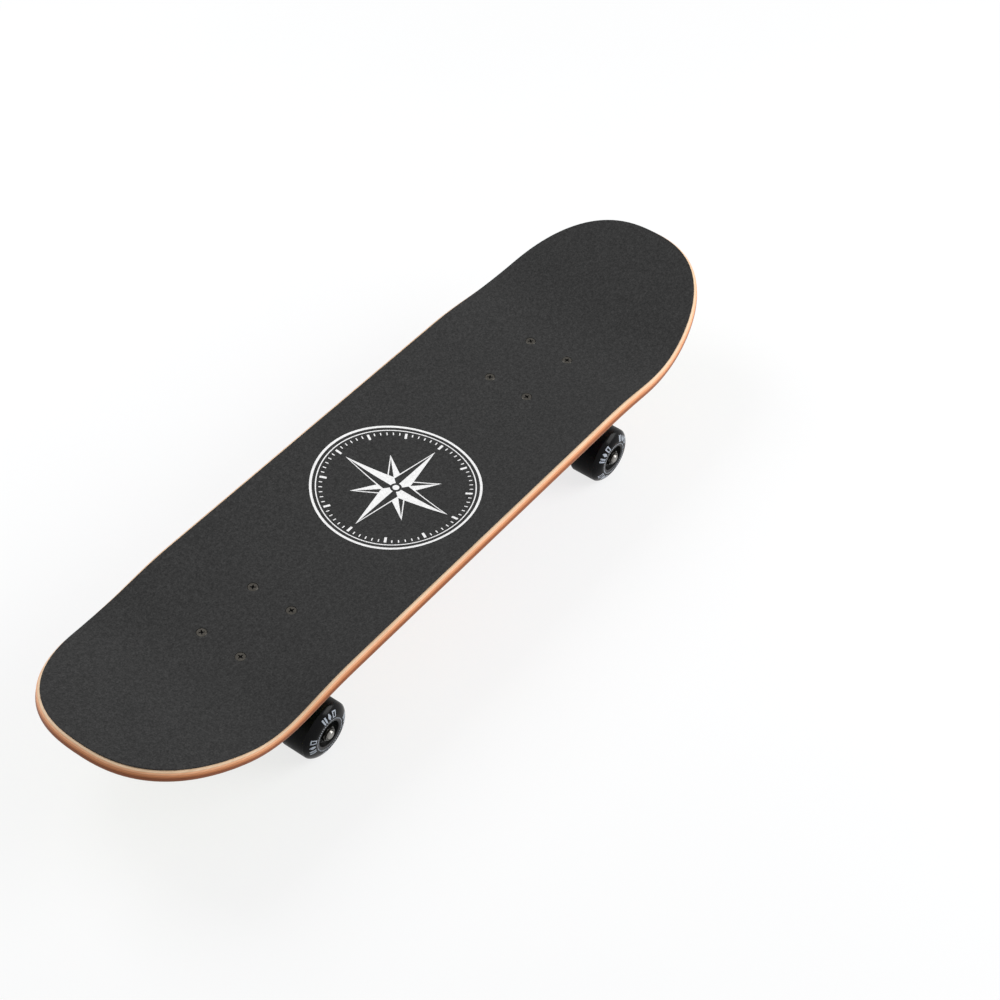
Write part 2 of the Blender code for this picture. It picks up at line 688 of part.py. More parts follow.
def pivot_cup_mesh():
    """A round cup about Z, with its mouth at the bottom and the pivot's ball centred at z = 0."""
    mouth = -PIVOT_CUP_MOUTH
    profile = [(0, CUP_END), (CUP_OUTER_RADIUS - PIVOT_CUP_CHAMFER, CUP_END)]
    profile += [(CUP_OUTER_RADIUS, CUP_END - PIVOT_CUP_CHAMFER), (CUP_OUTER_RADIUS, mouth)]
    profile += [(CUP_INNER_RADIUS, mouth)] + quarter_circle(CUP_INNER_RADIUS, 0, 3)
    return turned("pivot_cup", profile, MEDIUM)


def kingpin_mesh():
    """The kingpin along Z from its tip at z = 0, with a hexagon head at its deck end."""
    head_start = KINGPIN_TOP - KINGPIN_HEAD_HEIGHT
    overlap = KINGPIN_HEAD_HEIGHT / 2
    profile = [(0, head_start + overlap), (KINGPIN_RADIUS, head_start + overlap)]
    profile += [(KINGPIN_RADIUS, KINGPIN_TIP_CHAMFER)]
    profile += [(KINGPIN_RADIUS - KINGPIN_TIP_CHAMFER, 0), (0, 0)]
    head = prism(KINGPIN_HEAD_FLATS, head_start, KINGPIN_TOP)
    shank = turned("shank", profile, MEDIUM)
    return combined("kingpin", shape("head", head), [shape("shank", shank)])


def washer_mesh(name, diameter):
    """A cup washer about Z: its flat at z = 0, its rim towards +Z round the bushing's end."""
    outer = diameter / 2
    hole = KINGPIN_HOLE_RADIUS
    rim_inside = outer - WASHER_SHEET
    profile = [(hole, WASHER_SHEET), (rim_inside - WASHER_SHEET, WASHER_SHEET)]
    profile += [(rim_inside, WASHER_HEIGHT), (outer, WASHER_HEIGHT)]
    profile += [(outer - WASHER_SHEET / 2, 0), (hole, 0)]
    return turned(name, profile, MEDIUM, ring=True)


def bushing_mesh(name, seat_diameter, far_diameter, height, washer_diameter):
    """A bushing about Z, its wide end on the ring at z = 0, its far end in a cup washer."""
    hole = KINGPIN_HOLE_RADIUS
    rounding = BUSHING_EDGE_ROUNDING
    cup_floor = washer_diameter / 2 - 2 * WASHER_SHEET - SEAT_GAP
    far = min(far_diameter / 2 - rounding, cup_floor)
    cup_depth = WASHER_HEIGHT - WASHER_SHEET + SEAT_GAP
    seat = seat_diameter / 2
    profile = [(hole, height), (far, height), (far, height - cup_depth)]
    profile += [(far_diameter / 2, height - cup_depth - rounding), (seat, rounding)]
    profile += [(seat - rounding, 0), (hole, 0)]
    return turned(name, profile, MEDIUM, ring=True)


def tube_profile():
    """The hanger's round tube, as (radius, distance along the axle) from +Y to -Y."""
    end = HANGER_WIDTH / 2
    shoulder = WHEEL_CENTRE_Y - BEARING_OUTER_FACE - SEAT_GAP
    upper = [
        (0, shoulder),
        (TUBE_SHOULDER_DIAMETER / 2, shoulder),
        (TUBE_SHOULDER_DIAMETER / 2, end),
        (TUBE_END_DIAMETER / 2 - TUBE_END_CHAMFER, end),
        (TUBE_END_DIAMETER / 2, end - TUBE_END_CHAMFER),
        (TUBE_END_DIAMETER / 2, end - TUBE_SHOULDER_DIAMETER),
        (TUBE_MIDDLE_DIAMETER / 2, TUBE_SWELL_END),
    ]
    return upper + [(radius, -along) for radius, along in reversed(upper)]


def web_outline():
    """The hanger's web from above: a lobe round the ring that flares out along the tube."""
    centre = RING_CENTRE.x
    flat_half_length = RING_DIAMETER / 2 * tan(pi / 8)
    nose = [(centre - WEB_NOSE_REACH, -flat_half_length)]
    reach = AXLE_OUTWARD - TUBE_MIDDLE_DIAMETER / 2 - centre
    rise = WEB_HALF_SPAN - WEB_ROOT_HALF_WIDTH
    flare = []
    for i in range(WEB_FLARE_STEPS + 1):
        angle = pi / 2 * i / WEB_FLARE_STEPS
        flare.append((centre + reach * sin(angle), -WEB_HALF_SPAN + rise * cos(angle)))
    lower = nose + flare + [(AXLE_OUTWARD, -WEB_HALF_SPAN)]
    return lower + [(x, -y) for x, y in reversed(lower)]


def gusset_outline():
    """The rib between tube and pivot neck, as (x, z)."""
    up = Vector((cos(STEER_ANGLE), 0, sin(STEER_ANGLE)))
    near = RING_CENTRE + up * GUSSET_FROM_RING
    far = PIVOT_CENTRE - up * GUSSET_FROM_BALL
    points = [(near.x, near.z), (AXLE_CENTRE.x - TUBE_MIDDLE_DIAMETER / 4, AXLE_CENTRE.z)]
    points += [(AXLE_CENTRE.x + TUBE_MIDDLE_DIAMETER / 3, AXLE_CENTRE.z), (far.x, far.z)]
    return points


def pivot_profile():
    """The pivot about the steering axis, from the ball at its tip down to its root."""
    length = STEER_ARM.length
    ball = PIVOT_BALL_DIAMETER / 2
    waist, neck = PIVOT_WAIST_DIAMETER / 2, PIVOT_NECK_DIAMETER / 2
    tip = quarter_circle(ball, length, 3)
    profile = list(reversed(tip)) + [(waist, length - ball)]
    profile += [(waist, length - PIVOT_CUP_MOUTH - ball), (neck, length - PIVOT_NECK_FROM_BALL)]
    return profile + [(PIVOT_ROOT_DIAMETER / 2, PIVOT_ROOT_FROM_RING), (0, PIVOT_ROOT_FROM_RING)]


def hanger_mesh():
    """The cast hanger: tube, web, kingpin ring, gusset and pivot, with the ring's centre at 0."""
    ring_bottom = -RING_WALL_HEIGHT
    ring = prism(RING_DIAMETER, ring_bottom, RING_SEAT_THICKNESS, sides=8, bevel=RING_CHAMFER)
    web_low = RING_CENTRE.z - RING_WALL_HEIGHT - RING_SEAT_THICKNESS / 2
    web = slab(web_outline(), web_low, web_low + WEB_THICKNESS)
    gusset = slab(gusset_outline(), -GUSSET_THICKNESS / 2, GUSSET_THICKNESS / 2)
    pivot = turned("pivot", pivot_profile(), MEDIUM)
    joined = [
        shape("web", web),
        shape("ring", ring, on_kingpin(RING_SEAT_START)),
        shape("gusset", gusset, sideways()),
        shape("pivot", pivot, on_steer_axis(RING_CENTRE)),
    ]
    tube = shape("tube", turned("tube", tube_profile(), FINE), along_axle(AXLE_CENTRE))

    axle_hole = solid_disc(AXLE_HOLE_RADIUS, -AXLE_LENGTH / 2, AXLE_LENGTH / 2, COARSE)
    kingpin_hole = solid_disc(RING_BORE_DIAMETER / 2, -OVERSHOOT, OVERSHOOT, MEDIUM)
    scoop = solid_disc(SCOOP_DIAMETER / 2, -OVERSHOOT, 0, FINE)
    seat_radius = BOARD_BUSHING_DIAMETER / 2 + TURNING_GAP
    seat = solid_disc(seat_radius, 0, OVERSHOOT, FINE)
    cut = [
        shape("axle_hole", axle_hole, along_axle(AXLE_CENTRE)),
        shape("kingpin_hole", kingpin_hole, on_kingpin(RING_CENTRE_DISTANCE)),
        shape("scoop", scoop, on_kingpin(RING_SEAT_START)),
        shape("bushing_seat", seat, on_kingpin(RING_SEAT_END)),
    ]
    mesh = combined("hanger", tube, joined, cut)
    mesh.transform(Matrix.Translation(-RING_CENTRE))
    return mesh


def axle_mesh():
    radius, half, chamfer = AXLE_DIAMETER / 2, AXLE_LENGTH / 2, AXLE_TIP_CHAMFER
    profile = [(0, half), (radius - chamfer, half), (radius, half - chamfer)]
    profile += [(radius, -half + chamfer), (radius - chamfer, -half), (0, -half)]
    return turned("axle", profile, COARSE)


def wheel_mesh():
    """A wheel about Z, with a flat side of its rim facing +Y so that it stands on a flat."""
    half, tread = WHEEL_WIDTH / 2, TREAD_WIDTH / 2
    rim = WHEEL_DIAMETER / 2 / cos(pi / WHEEL_SIDES)
    face = WHEEL_FACE_DIAMETER / 2
    hub = HUB_OPENING_DIAMETER / 2
    seat = BEARING_DIAMETER / 2 + SEAT_GAP
    land = BEARING_INNER_FACE - SEAT_GAP
    ledge = BEARING_DIAMETER / 2 - BEARING_LEDGE
    outer = [
        (seat, land),
        (seat, BEARING_OUTER_FACE + SEAT_GAP),
        (hub, half),
        (face, half),
        (rim - SHOULDER_DROP, tread + SHOULDER_LENGTH),
        (rim, tread),
    ]
    loop = [(ledge, land)] + outer
    loop += [(radius, -height) for radius, height in reversed(outer)] + [(ledge, -land)]
    return turned("wheel", loop, WHEEL_SIDES, start_angle=pi / WHEEL_SIDES, ring=True)


def bearing_mesh():
    """A ball bearing about Z, with a shield on its +Z side that lies a little below its races."""
    half = BEARING_WIDTH / 2
    inner, outer = AXLE_HOLE_RADIUS, BEARING_DIAMETER / 2
    inner_race, outer_race = INNER_RACE_DIAMETER / 2, OUTER_RACE_INNER_DIAMETER / 2
    shield = half - BEARING_SHIELD_INSET
    loop = [(inner, half), (inner_race, half), (inner_race, shield), (outer_race, shield)]
    loop += [(outer_race, half), (outer, half), (outer, -half), (inner, -half)]
    return turned("bearing", loop, MEDIUM, ring=True)


def speed_washer_mesh():
    outer = SPEED_WASHER_DIAMETER / 2
    half = SPEED_WASHER_THICKNESS / 2
    profile = [(AXLE_HOLE_RADIUS, half), (outer, half), (outer, -half), (AXLE_HOLE_RADIUS, -half)]
    return turned("speed_washer", profile, MEDIUM, ring=True)


def build_root_pieces(truck, name, meshes):
    """The pieces of a truck that stay with the deck: baseplate, kingpin and its stack."""
    lean = Matrix.Rotation(-KINGPIN_LEAN, 4, "Y")
    flipped = lean @ Matrix.Rotation(pi, 4, "X")

    def on_axis(distance):
        return KINGPIN_TIP + KINGPIN_DIRECTION * distance

    place(f"{name}_baseplate", meshes["baseplate"], black_metal, truck)
    steer = Matrix.Rotation(pi / 2 - STEER_ANGLE, 4, "Y")
    place(f"{name}_pivot_cup", meshes["pivot_cup"], black_plastic, truck, PIVOT_CENTRE, steer)
    place(f"{name}_kingpin", meshes["kingpin"], bright_steel, truck, KINGPIN_TIP, lean)
    nut_seat = on_axis(ROAD_WASHER_START - SEAT_GAP)
    place(f"{name}_kingpin_nut", meshes["kingpin_nut"], dark_steel, truck, nut_seat, lean)
    road_washer = on_axis(ROAD_WASHER_START)
    place(f"{name}_road_side_washer", meshes["road_washer"], dark_steel, truck, road_washer, lean)
    road_seat = on_axis(RING_SEAT_START - SEAT_GAP)
    road = meshes["road_bushing"]
    place(f"{name}_road_side_bushing", road, pink_urethane, truck, road_seat, flipped)
    board_seat = on_axis(BOARD_BUSHING_START)
    board = meshes["board_bushing"]
    place(f"{name}_board_side_bushing", board, pink_urethane, truck, board_seat, lean)
    board_washer = on_axis(BOARD_WASHER_START + WASHER_SHEET)
    washer = meshes["board_washer"]
    place(f"{name}_board_side_washer", washer, dark_steel, truck, board_washer, flipped)


def build_moving_pieces(truck, name, meshes, left_side):
    """The hanger and all that it carries. left_side is the truck's own side that is +Y."""
    pivot = bpy.data.objects.new(f"{name}_steering_axis", None)
    parts.objects.link(pivot)
    pivot.parent = truck
    pivot.location = RING_CENTRE
    axle = AXLE_CENTRE - RING_CENTRE
    place(f"{name}_hanger", meshes["hanger"], black_metal, pivot)
    along = Matrix.Rotation(-pi / 2, 4, "X")
    place(f"{name}_axle", meshes["axle"], bright_steel, pivot, axle, along)
    for side in (1, -1):
        hand = "left" if side == left_side else "right"
        wheel_at = axle + Vector((0, side * WHEEL_CENTRE_Y, 0))
        outward = Matrix.Rotation(-side * pi / 2, 4, "X")
        place(f"{name}_{hand}_wheel", meshes["wheel"], black_urethane, pivot, wheel_at, outward)
        for where, way in (("outer", side), ("inner", -side)):
            middle = way * (BEARING_OUTER_FACE - BEARING_WIDTH / 2)
            at = wheel_at + Vector((0, middle, 0))
            shield_way = Matrix.Rotation(-way * pi / 2, 4, "X")
            label = f"{name}_{hand}_{where}_bearing"
            place(label, meshes["bearing"], bearing_steel, pivot, at, shield_way)
        washer_at = BEARING_OUTER_FACE + SEAT_GAP + SPEED_WASHER_THICKNESS / 2
        at = wheel_at + Vector((0, side * washer_at, 0))
        label = f"{name}_{hand}_speed_washer"
        place(label, meshes["speed_washer"], bright_steel, pivot, at, outward)
        nut_at = washer_at + SPEED_WASHER_THICKNESS / 2 + SEAT_GAP
        at = wheel_at + Vector((0, side * nut_at, 0))
        inward = Matrix.Rotation(side * pi / 2, 4, "X")
        place(f"{name}_{hand}_axle_nut", meshes["axle_nut"], bright_steel, pivot, at, inward)


def truck_meshes():
    """The meshes that both trucks share."""
    axle_nut_sizes = AXLE_NUT_FLATS, AXLE_NUT_HEX_HEIGHT, AXLE_NUT_COLLAR_HEIGHT
    kingpin_nut_sizes = KINGPIN_NUT_FLATS, KINGPIN_NUT_HEX_HEIGHT, KINGPIN_NUT_COLLAR_HEIGHT
    return {
        "baseplate": baseplate_mesh(),
        "pivot_cup": pivot_cup_mesh(),
        "kingpin": kingpin_mesh(),
        "kingpin_nut": lock_nut("kingpin_nut", *kingpin_nut_sizes, KINGPIN_HOLE_RADIUS),
        "road_washer": washer_mesh("road_washer", ROAD_WASHER_DIAMETER),
        "board_washer": washer_mesh("board_washer", BOARD_WASHER_DIAMETER),
        "road_bushing": bushing_mesh(
            "road_bushing",
            ROAD_BUSHING_DIAMETER,
            ROAD_BUSHING_TOP_DIAMETER,
            ROAD_BUSHING_HEIGHT,
            ROAD_WASHER_DIAMETER,
        ),
        "board_bushing": bushing_mesh(
            "board_bushing",
            BOARD_BUSHING_DIAMETER,
            BOARD_BUSHING_DIAMETER,
            BOARD_BUSHING_HEIGHT,
            BOARD_WASHER_DIAMETER,
        ),
        "hanger": hanger_mesh(),
        "axle": axle_mesh(),
        "axle_nut": lock_nut("axle_nut", *axle_nut_sizes, AXLE_HOLE_RADIUS),
        "wheel": wheel_mesh(),
        "bearing": bearing_mesh(),
        "speed_washer": speed_washer_mesh(),
    }


def centre_on_floor(board):
    """Moves the board along X so that the origin lies under the middle of its box."""
    bpy.context.view_layer.update()
    deck = bpy.data.objects["deck"]
    reach = [(deck.matrix_world @ vertex.co).x for vertex in deck.data.vertices]
    board.location.x -= (min(reach) + max(reach)) / 2


for old in list(bpy.data.objects):
    bpy.data.objects.remove(old)

parts = collection(COLLECTION_NAME)
workshop = collection(WORKSHOP_NAME)

maple = material("maple", (0.72, 0.45, 0.22), 0.45)
grit = material("grip", (0.035, 0.035, 0.037), 0.95)
black_metal = material("black_metal", (0.018, 0.018, 0.019), 0.38, 0.3)
dark_steel = material("dark_steel", (0.03, 0.03, 0.032), 0.35, 0.8)
bright_steel = material("bright_steel", (0.62, 0.62, 0.60), 0.25, 1.0)
bearing_steel = material("bearing_steel", (0.10, 0.10, 0.10), 0.35, 0.8)
black_plastic = material("black_plastic", (0.02, 0.02, 0.02), 0.5)
black_urethane = material("black_urethane", (0.022, 0.022, 0.023), 0.4)
pink_urethane = material("pink_urethane", (0.87, 0.30, 0.33), 0.35)

skateboard = bpy.data.objects.new("skateboard", None)
parts.objects.link(skateboard)
build_deck(skateboard)
build_grip(skateboard)
build_bolts(skateboard)
build_deck_nuts(skateboard)
shared = truck_meshes()
for end_name, end_side in (("front", 1), ("rear", -1)):
    frame = bpy.data.objects.new(f"{end_name}_truck", None)
    parts.objects.link(frame)
    frame.parent = skateboard
    frame.location = (end_side * TRUCK_SPACING / 2, 0, TRUCK_TOP)
    frame.rotation_euler = (0, 0, 0 if end_side == 1 else pi)
    build_root_pieces(frame, end_name, shared)
    build_moving_pieces(frame, end_name, shared, left_side=end_side)
centre_on_floor(skateboard)
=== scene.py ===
"""The looks of a double kick skateboard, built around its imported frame.

Metres, +Z up, +X towards the nose. The deck, the grip and the print under the deck follow one
curved surface, and a place on it is given from the trucks' centre. Each truck has its own frame:
origin on the face that meets the deck, +X towards its end of the board.
"""

import json
from math import atan2, ceil, cos, pi, radians, sin, tan

import bmesh
import bpy
from mathutils import Matrix, Vector
from mathutils.geometry import delaunay_2d_cdt


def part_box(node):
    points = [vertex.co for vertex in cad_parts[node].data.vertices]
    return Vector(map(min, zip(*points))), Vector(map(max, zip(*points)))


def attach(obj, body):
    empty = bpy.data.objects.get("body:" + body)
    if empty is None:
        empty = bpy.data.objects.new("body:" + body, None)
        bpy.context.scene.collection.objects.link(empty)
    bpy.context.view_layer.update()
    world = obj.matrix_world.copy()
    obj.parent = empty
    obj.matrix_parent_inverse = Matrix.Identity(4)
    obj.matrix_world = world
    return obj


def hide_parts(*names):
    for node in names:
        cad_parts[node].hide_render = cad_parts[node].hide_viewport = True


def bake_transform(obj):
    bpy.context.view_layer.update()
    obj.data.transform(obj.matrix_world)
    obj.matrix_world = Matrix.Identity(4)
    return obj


# Deck, with its outline taken along the rim of its upper face
DECK_WIDTH = 0.2009
DECK_THICKNESS = 0.0105
UPPER_ROUNDING = 0.004
LOWER_ROUNDING = 0.0028
NOSE_REACH = 0.3989
TAIL_REACH = 0.3920
NOSE_CURVE_LENGTH = 0.161
TAIL_CURVE_LENGTH = 0.145
END_SQUARENESS = 2.44
KICK_START = 0.236
NOSE_KICK_ANGLE = radians(15.9)
TAIL_KICK_ANGLE = radians(15.3)
KICK_BEND_RADIUS = 0.237
CONCAVE_RISE = 0.0107
FLAT_HALF_WIDTH = 0.010
NOSE_FADE_START = 0.1865
TAIL_FADE_START = 0.183
FADE_LENGTH = 0.120
HALF_WIDTH = DECK_WIDTH / 2

# How finely the surfaces are divided
END_STEPS = 96
SIDE_STEPS = 64
DECK_ROWS = 26
EDGE_ARC_STEPS = 6
CORNER_STEPS = 3
SHEET_SPACING = 0.0055
SAME_POINT = 0.000001
SHOULDER_STEPS = 14
CASTING_VOXEL = 0.00055

# Grip tape and the print under the deck
GRIP_INSET = 0.0024
GRIP_THICKNESS = 0.0008
PRINT_THICKNESS = 0.00006
PRINT_GAP = 0.00010
PRINT_INSET = 0.0030
INK_LINE = 0.0030
# Width of a leaf for its length
LEAF_WIDTH = 0.50
MARK_RADIUS = 0.075

# Deck bolts
BOLT_DIAMETER = 0.0048
BOLT_LENGTH = 0.0235
BOLT_HEAD_DIAMETER = 0.0093
BOLT_HEAD_SINK = 0.0002
BOLT_HOLE_GAP = 0.0004
GRIP_HOLE_GAP = 0.0001

# Lock nuts, as the width across the flats, the height and the collar's height
DECK_NUT = (0.0095, 0.0042, 0.0016)
KINGPIN_NUT = (0.0143, 0.0062, 0.0020)
AXLE_NUT = (0.0127, 0.0042, 0.0014)

# Kingpin and its stack, as distances from the kingpin's tip
KINGPIN_LEAN = radians(17.0)
KINGPIN_TIP = Vector((-0.0065, 0, -0.0616))
KINGPIN_DIAMETER = 0.0095
KINGPIN_LENGTH = 0.0608
NUT_FROM_TIP = 0.0016
SEAT_GAP = 0.0003
THREAD_PITCH = 0.00106
WASHER_SHEET = 0.0012
WASHER_HEIGHT = 0.0024
BUSHING_DIAMETER = 0.0255
# Bushings, as the height, the diameter of the far end and that of its cup washer
ROAD_BUSHING = (0.0100, 0.0185, 0.0210)
BOARD_BUSHING = (0.0130, BUSHING_DIAMETER, 0.0270)
RING_SEAT_THICKNESS = 0.0050
BUSHING_ROUNDING = 0.0014

# Axle, wheels and bearings
AXLE_DIAMETER = 0.0079
AXLE_LENGTH = 0.193
WHEEL_DIAMETER = 0.053
WHEEL_WIDTH = 0.036
TREAD_WIDTH = 0.0225
WHEEL_FACE_DIAMETER = 0.034
WHEEL_SQUARENESS = 1.5
HUB_OPENING_DIAMETER = 0.025
BEARING_DIAMETER = 0.022
BEARING_WIDTH = 0.007
BEARING_INSET = 0.0065
SPEED_WASHER_DIAMETER = 0.0140
SPEED_WASHER_THICKNESS = 0.0010
# Levels of cells that a wheel's printed marks take up, and the one its dimples are at
MARK_LEVELS = 6
DIMPLE_LEVEL = 4

COAT_ROUGHNESS = 0.08

# Camera, at the angle of the photograph
CAMERA_TARGET = Vector((0.0411, -0.0790, 0.0904))
CAMERA_AZIMUTH = radians(213.23)
CAMERA_ELEVATION = radians(45.54)
CAMERA_DISTANCE = 1.9812
CAMERA_ROLL = radians(4.15)
CAMERA_LENS = 82.7

# Share of the floor's brightness that no shadow dims in the camera's eyes
FLOOR_GLOW = 0.77
# Distances from the middle between which the floor turns plain white
WHITE_START = 0.7
WHITE_END = 2.4
# Strength of the world as a light, while the camera and reflections see it at full white
WORLD_LIGHT = 0.34

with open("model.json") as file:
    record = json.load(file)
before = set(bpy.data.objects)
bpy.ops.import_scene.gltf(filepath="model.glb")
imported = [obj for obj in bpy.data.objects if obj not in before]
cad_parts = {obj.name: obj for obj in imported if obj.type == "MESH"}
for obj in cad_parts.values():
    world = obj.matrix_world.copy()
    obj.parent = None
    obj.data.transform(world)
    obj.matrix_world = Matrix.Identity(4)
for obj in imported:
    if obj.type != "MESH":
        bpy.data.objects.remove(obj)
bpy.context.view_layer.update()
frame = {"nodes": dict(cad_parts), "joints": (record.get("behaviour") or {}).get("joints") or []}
joints = {joint["name"]: joint for joint in frame["joints"]}


# Places worked out from the frame


def middle(label):
    low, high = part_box(label)
    return (low + high) / 2


TRUCKS_CENTRE_X = (middle("front_baseplate").x + middle("rear_baseplate").x) / 2
DECK_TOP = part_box("deck")[0].z + DECK_THICKNESS
GRIP_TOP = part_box("grip_tape")[0].z + GRIP_THICKNESS


def truck_frame(end):
    """The frame of a truck: on its face against the deck, with +X towards its end of the board."""
    at = middle(f"{end}_baseplate")
    at.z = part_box(f"{end}_baseplate")[1].z
    return Matrix.Translation(at) @ Matrix.Rotation(0 if end == "front" else pi, 4, "Z")


def kingpin_frame(end, distance, flip=0):
    """The frame at a distance from the kingpin's tip, with Z along the kingpin to the deck."""
    lean = Matrix.Rotation(-KINGPIN_LEAN, 4, "Y")
    at = Matrix.Translation(KINGPIN_TIP + lean @ Vector((0, 0, distance)))
    return truck_frame(end) @ at @ lean @ Matrix.Rotation(flip, 4, "X")


# The deck's surface


def kick_height(past_start, angle):
    arc_length = KICK_BEND_RADIUS * sin(angle)
    if past_start <= 0:
        return 0.0
    if past_start < arc_length:
        return KICK_BEND_RADIUS - (KICK_BEND_RADIUS**2 - past_start**2) ** 0.5
    return KICK_BEND_RADIUS * (1 - cos(angle)) + (past_start - arc_length) * tan(angle)


def surface_height(x, y):
    """How far the deck's upper face lies above its middle, at x from the trucks' centre."""
    ends = (NOSE_KICK_ANGLE, NOSE_FADE_START), (TAIL_KICK_ANGLE, TAIL_FADE_START)
    angle, fade_start = ends[0 if x > 0 else 1]
    left = 1 - min(max((abs(x) - fade_start) / FADE_LENGTH, 0.0), 1.0)
    left = left * left * (3 - 2 * left)
    across = max(abs(y) - FLAT_HALF_WIDTH, 0.0) / (HALF_WIDTH - FLAT_HALF_WIDTH)
    return kick_height(abs(x) - KICK_START, angle) + CONCAVE_RISE * across**2 * left


def surface_normal(x, y):
    step = 0.0005
    along = surface_height(x + step, y) - surface_height(x - step, y)
    across = surface_height(x, y + step) - surface_height(x, y - step)
    return Vector((-along, -across, 2 * step)).normalized()


def surface_point(x, y):
    return Vector((x + TRUCKS_CENTRE_X, y, DECK_TOP + surface_height(x, y)))


def on_surface(x, y, depth):
    """A world point at a depth below the deck's upper face, square to it, and the face's normal."""
    normal = surface_normal(x, y)
    return surface_point(x, y) - normal * depth, normal


def end_curve(length, half_width):
    points = []
    for i in range(END_STEPS + 1):
        angle = pi / 2 - pi * i / END_STEPS
        across, along = abs(sin(angle)) / half_width, abs(cos(angle)) / length
        radius = (across**END_SQUARENESS + along**END_SQUARENESS) ** (-1 / END_SQUARENESS)
        points.append((radius * cos(angle), radius * sin(angle)))
    return points


def deck_outline(inset):
    """The deck's outline from above, drawn in by an inset, clockwise from the nose's +Y side."""
    half_width = HALF_WIDTH - inset
    nose_centre, tail_centre = NOSE_REACH - NOSE_CURVE_LENGTH, TAIL_REACH - TAIL_CURVE_LENGTH
    nose = end_curve(NOSE_CURVE_LENGTH - inset, half_width)
    tail = end_curve(TAIL_CURVE_LENGTH - inset, half_width)
    step = (nose_centre + tail_centre) / SIDE_STEPS
    side = [nose_centre - step * i for i in range(1, SIDE_STEPS)]
    outline = [(nose_centre + x, y) for x, y in nose] + [(x, -half_width) for x in side]
    outline += [(-tail_centre - x, -y) for x, y in tail]
    return outline + [(x, half_width) for x in reversed(side)]


# Materials


def configured(made, **settings):
    """Gives something its settings."""
    for key, value in settings.items():
        setattr(made, key, value)
    return made


def set_inputs(receiver, values):
    """Sets a node's inputs by name or number, each to a value or to another node's output."""
    for key, value in values.items():
        if isinstance(value, bpy.types.NodeSocket):
            receiver.id_data.links.new(value, receiver.inputs[key])
        else:
            receiver.inputs[key].default_value = value


def node(tree, kind, values=(), **settings):
    """A new node with its settings and inputs."""
    added = configured(tree.nodes.new(kind), **settings)
    set_inputs(added, dict(values))
    return added


def new_material(name, roughness, metallic=0.0, coat=0.0, specular=0.5):
    """A material, with its node tree and its shader."""
    made = bpy.data.materials.new(name)
    made.use_nodes = True
    tree = made.node_tree
    shader = tree.nodes["Principled BSDF"]
    values = {"Roughness": roughness, "Metallic": metallic, "Specular IOR Level": specular}
    set_inputs(shader, {**values, "Coat Weight": coat, "Coat Roughness": COAT_ROUGHNESS})
    return made, tree, shader


def noise(tree, scale, detail=3.0, stretch=(1, 1, 1), roughness=0.55):
    """Noise in the piece's own coordinates, as a socket."""
    place = node(tree, "ShaderNodeTexCoord").outputs["Object"]
    mapping = node(tree, "ShaderNodeMapping", {"Vector": place, "Scale": stretch})
    values = {"Vector": mapping.outputs[0], "Scale": scale, "Detail": detail}
    values["Roughness"] = roughness
    return node(tree, "ShaderNodeTexNoise", values).outputs["Fac"]


def ramp(factor, stops, interpolation="LINEAR"):
    """A colour ramp of (place, colour) stops, as a socket."""
    made = node(factor.id_data, "ShaderNodeValToRGB", {"Fac": factor})
    made.color_ramp.interpolation = interpolation
    elements = made.color_ramp.elements
    while len(elements) < len(stops):
        elements.new(1.0)
    for element, (place, colour) in zip(elements, stops):
        element.position = place
        element.color = (*colour, 1.0)
    return made.outputs["Color"]


def between(factor, low, high, start=0.3, end=0.7):
    """A colour that runs from low to high with a noise socket."""
    return ramp(factor, [(start, low), (end, high)])


def multiplied(*colours):
    product = colours[0]
    for colour in colours[1:]:
        mix = node(colour.id_data, "ShaderNodeMix", data_type="RGBA", blend_type="MULTIPLY")
        set_inputs(mix, {"Factor": 1.0, "A": product, "B": colour})
        product = mix.outputs["Result"]
    return product


def spread(value, low, high, start=0.3, end=0.7):
    """A number that runs from low to high while another goes from a start to an end."""
    values = {"Value": value, "From Min": start, "From Max": end, "To Min": low, "To Max": high}
    return node(value.id_data, "ShaderNodeMapRange", values).outputs["Result"]


def bumped(height, strength, distance):
    values = {"Height": height, "Strength": strength, "Distance": distance}
    return node(height.id_data, "ShaderNodeBump", values).outputs["Normal"]


def srgb(*levels):
    """A colour given in the usual 0 to 255 levels, as linear red, green and blue."""
    shares = [level / 255 for level in levels]
    return tuple(s / 12.92 if s <= 0.04045 else ((s + 0.055) / 1.055) ** 2.4 for s in shares)


def grey(level):
    return (level,) * 3


def shade(colour, share):
    return tuple(level * share for level in colour)


def grit_material(name, dark, light):
    """Coarse grit: a dense fine speckle, clumps of grains and slow mottling."""
    made, tree, shader = new_material(name, 0.92, specular=0.30)
    grain = noise(tree, 700, 5.0, roughness=0.75)
    fine = between(grain, grey(dark), grey(light), 0.36, 0.64)
    clumps = between(noise(tree, 330, 2.0), grey(0.66), grey(1.06), 0.36, 0.64)
    mottle = between(noise(tree, 28), grey(0.92), grey(1.0))
    colour = multiplied(fine, clumps, mottle)
    set_inputs(shader, {"Base Color": colour, "Normal": bumped(grain, 0.5, 0.0004)})
    return made


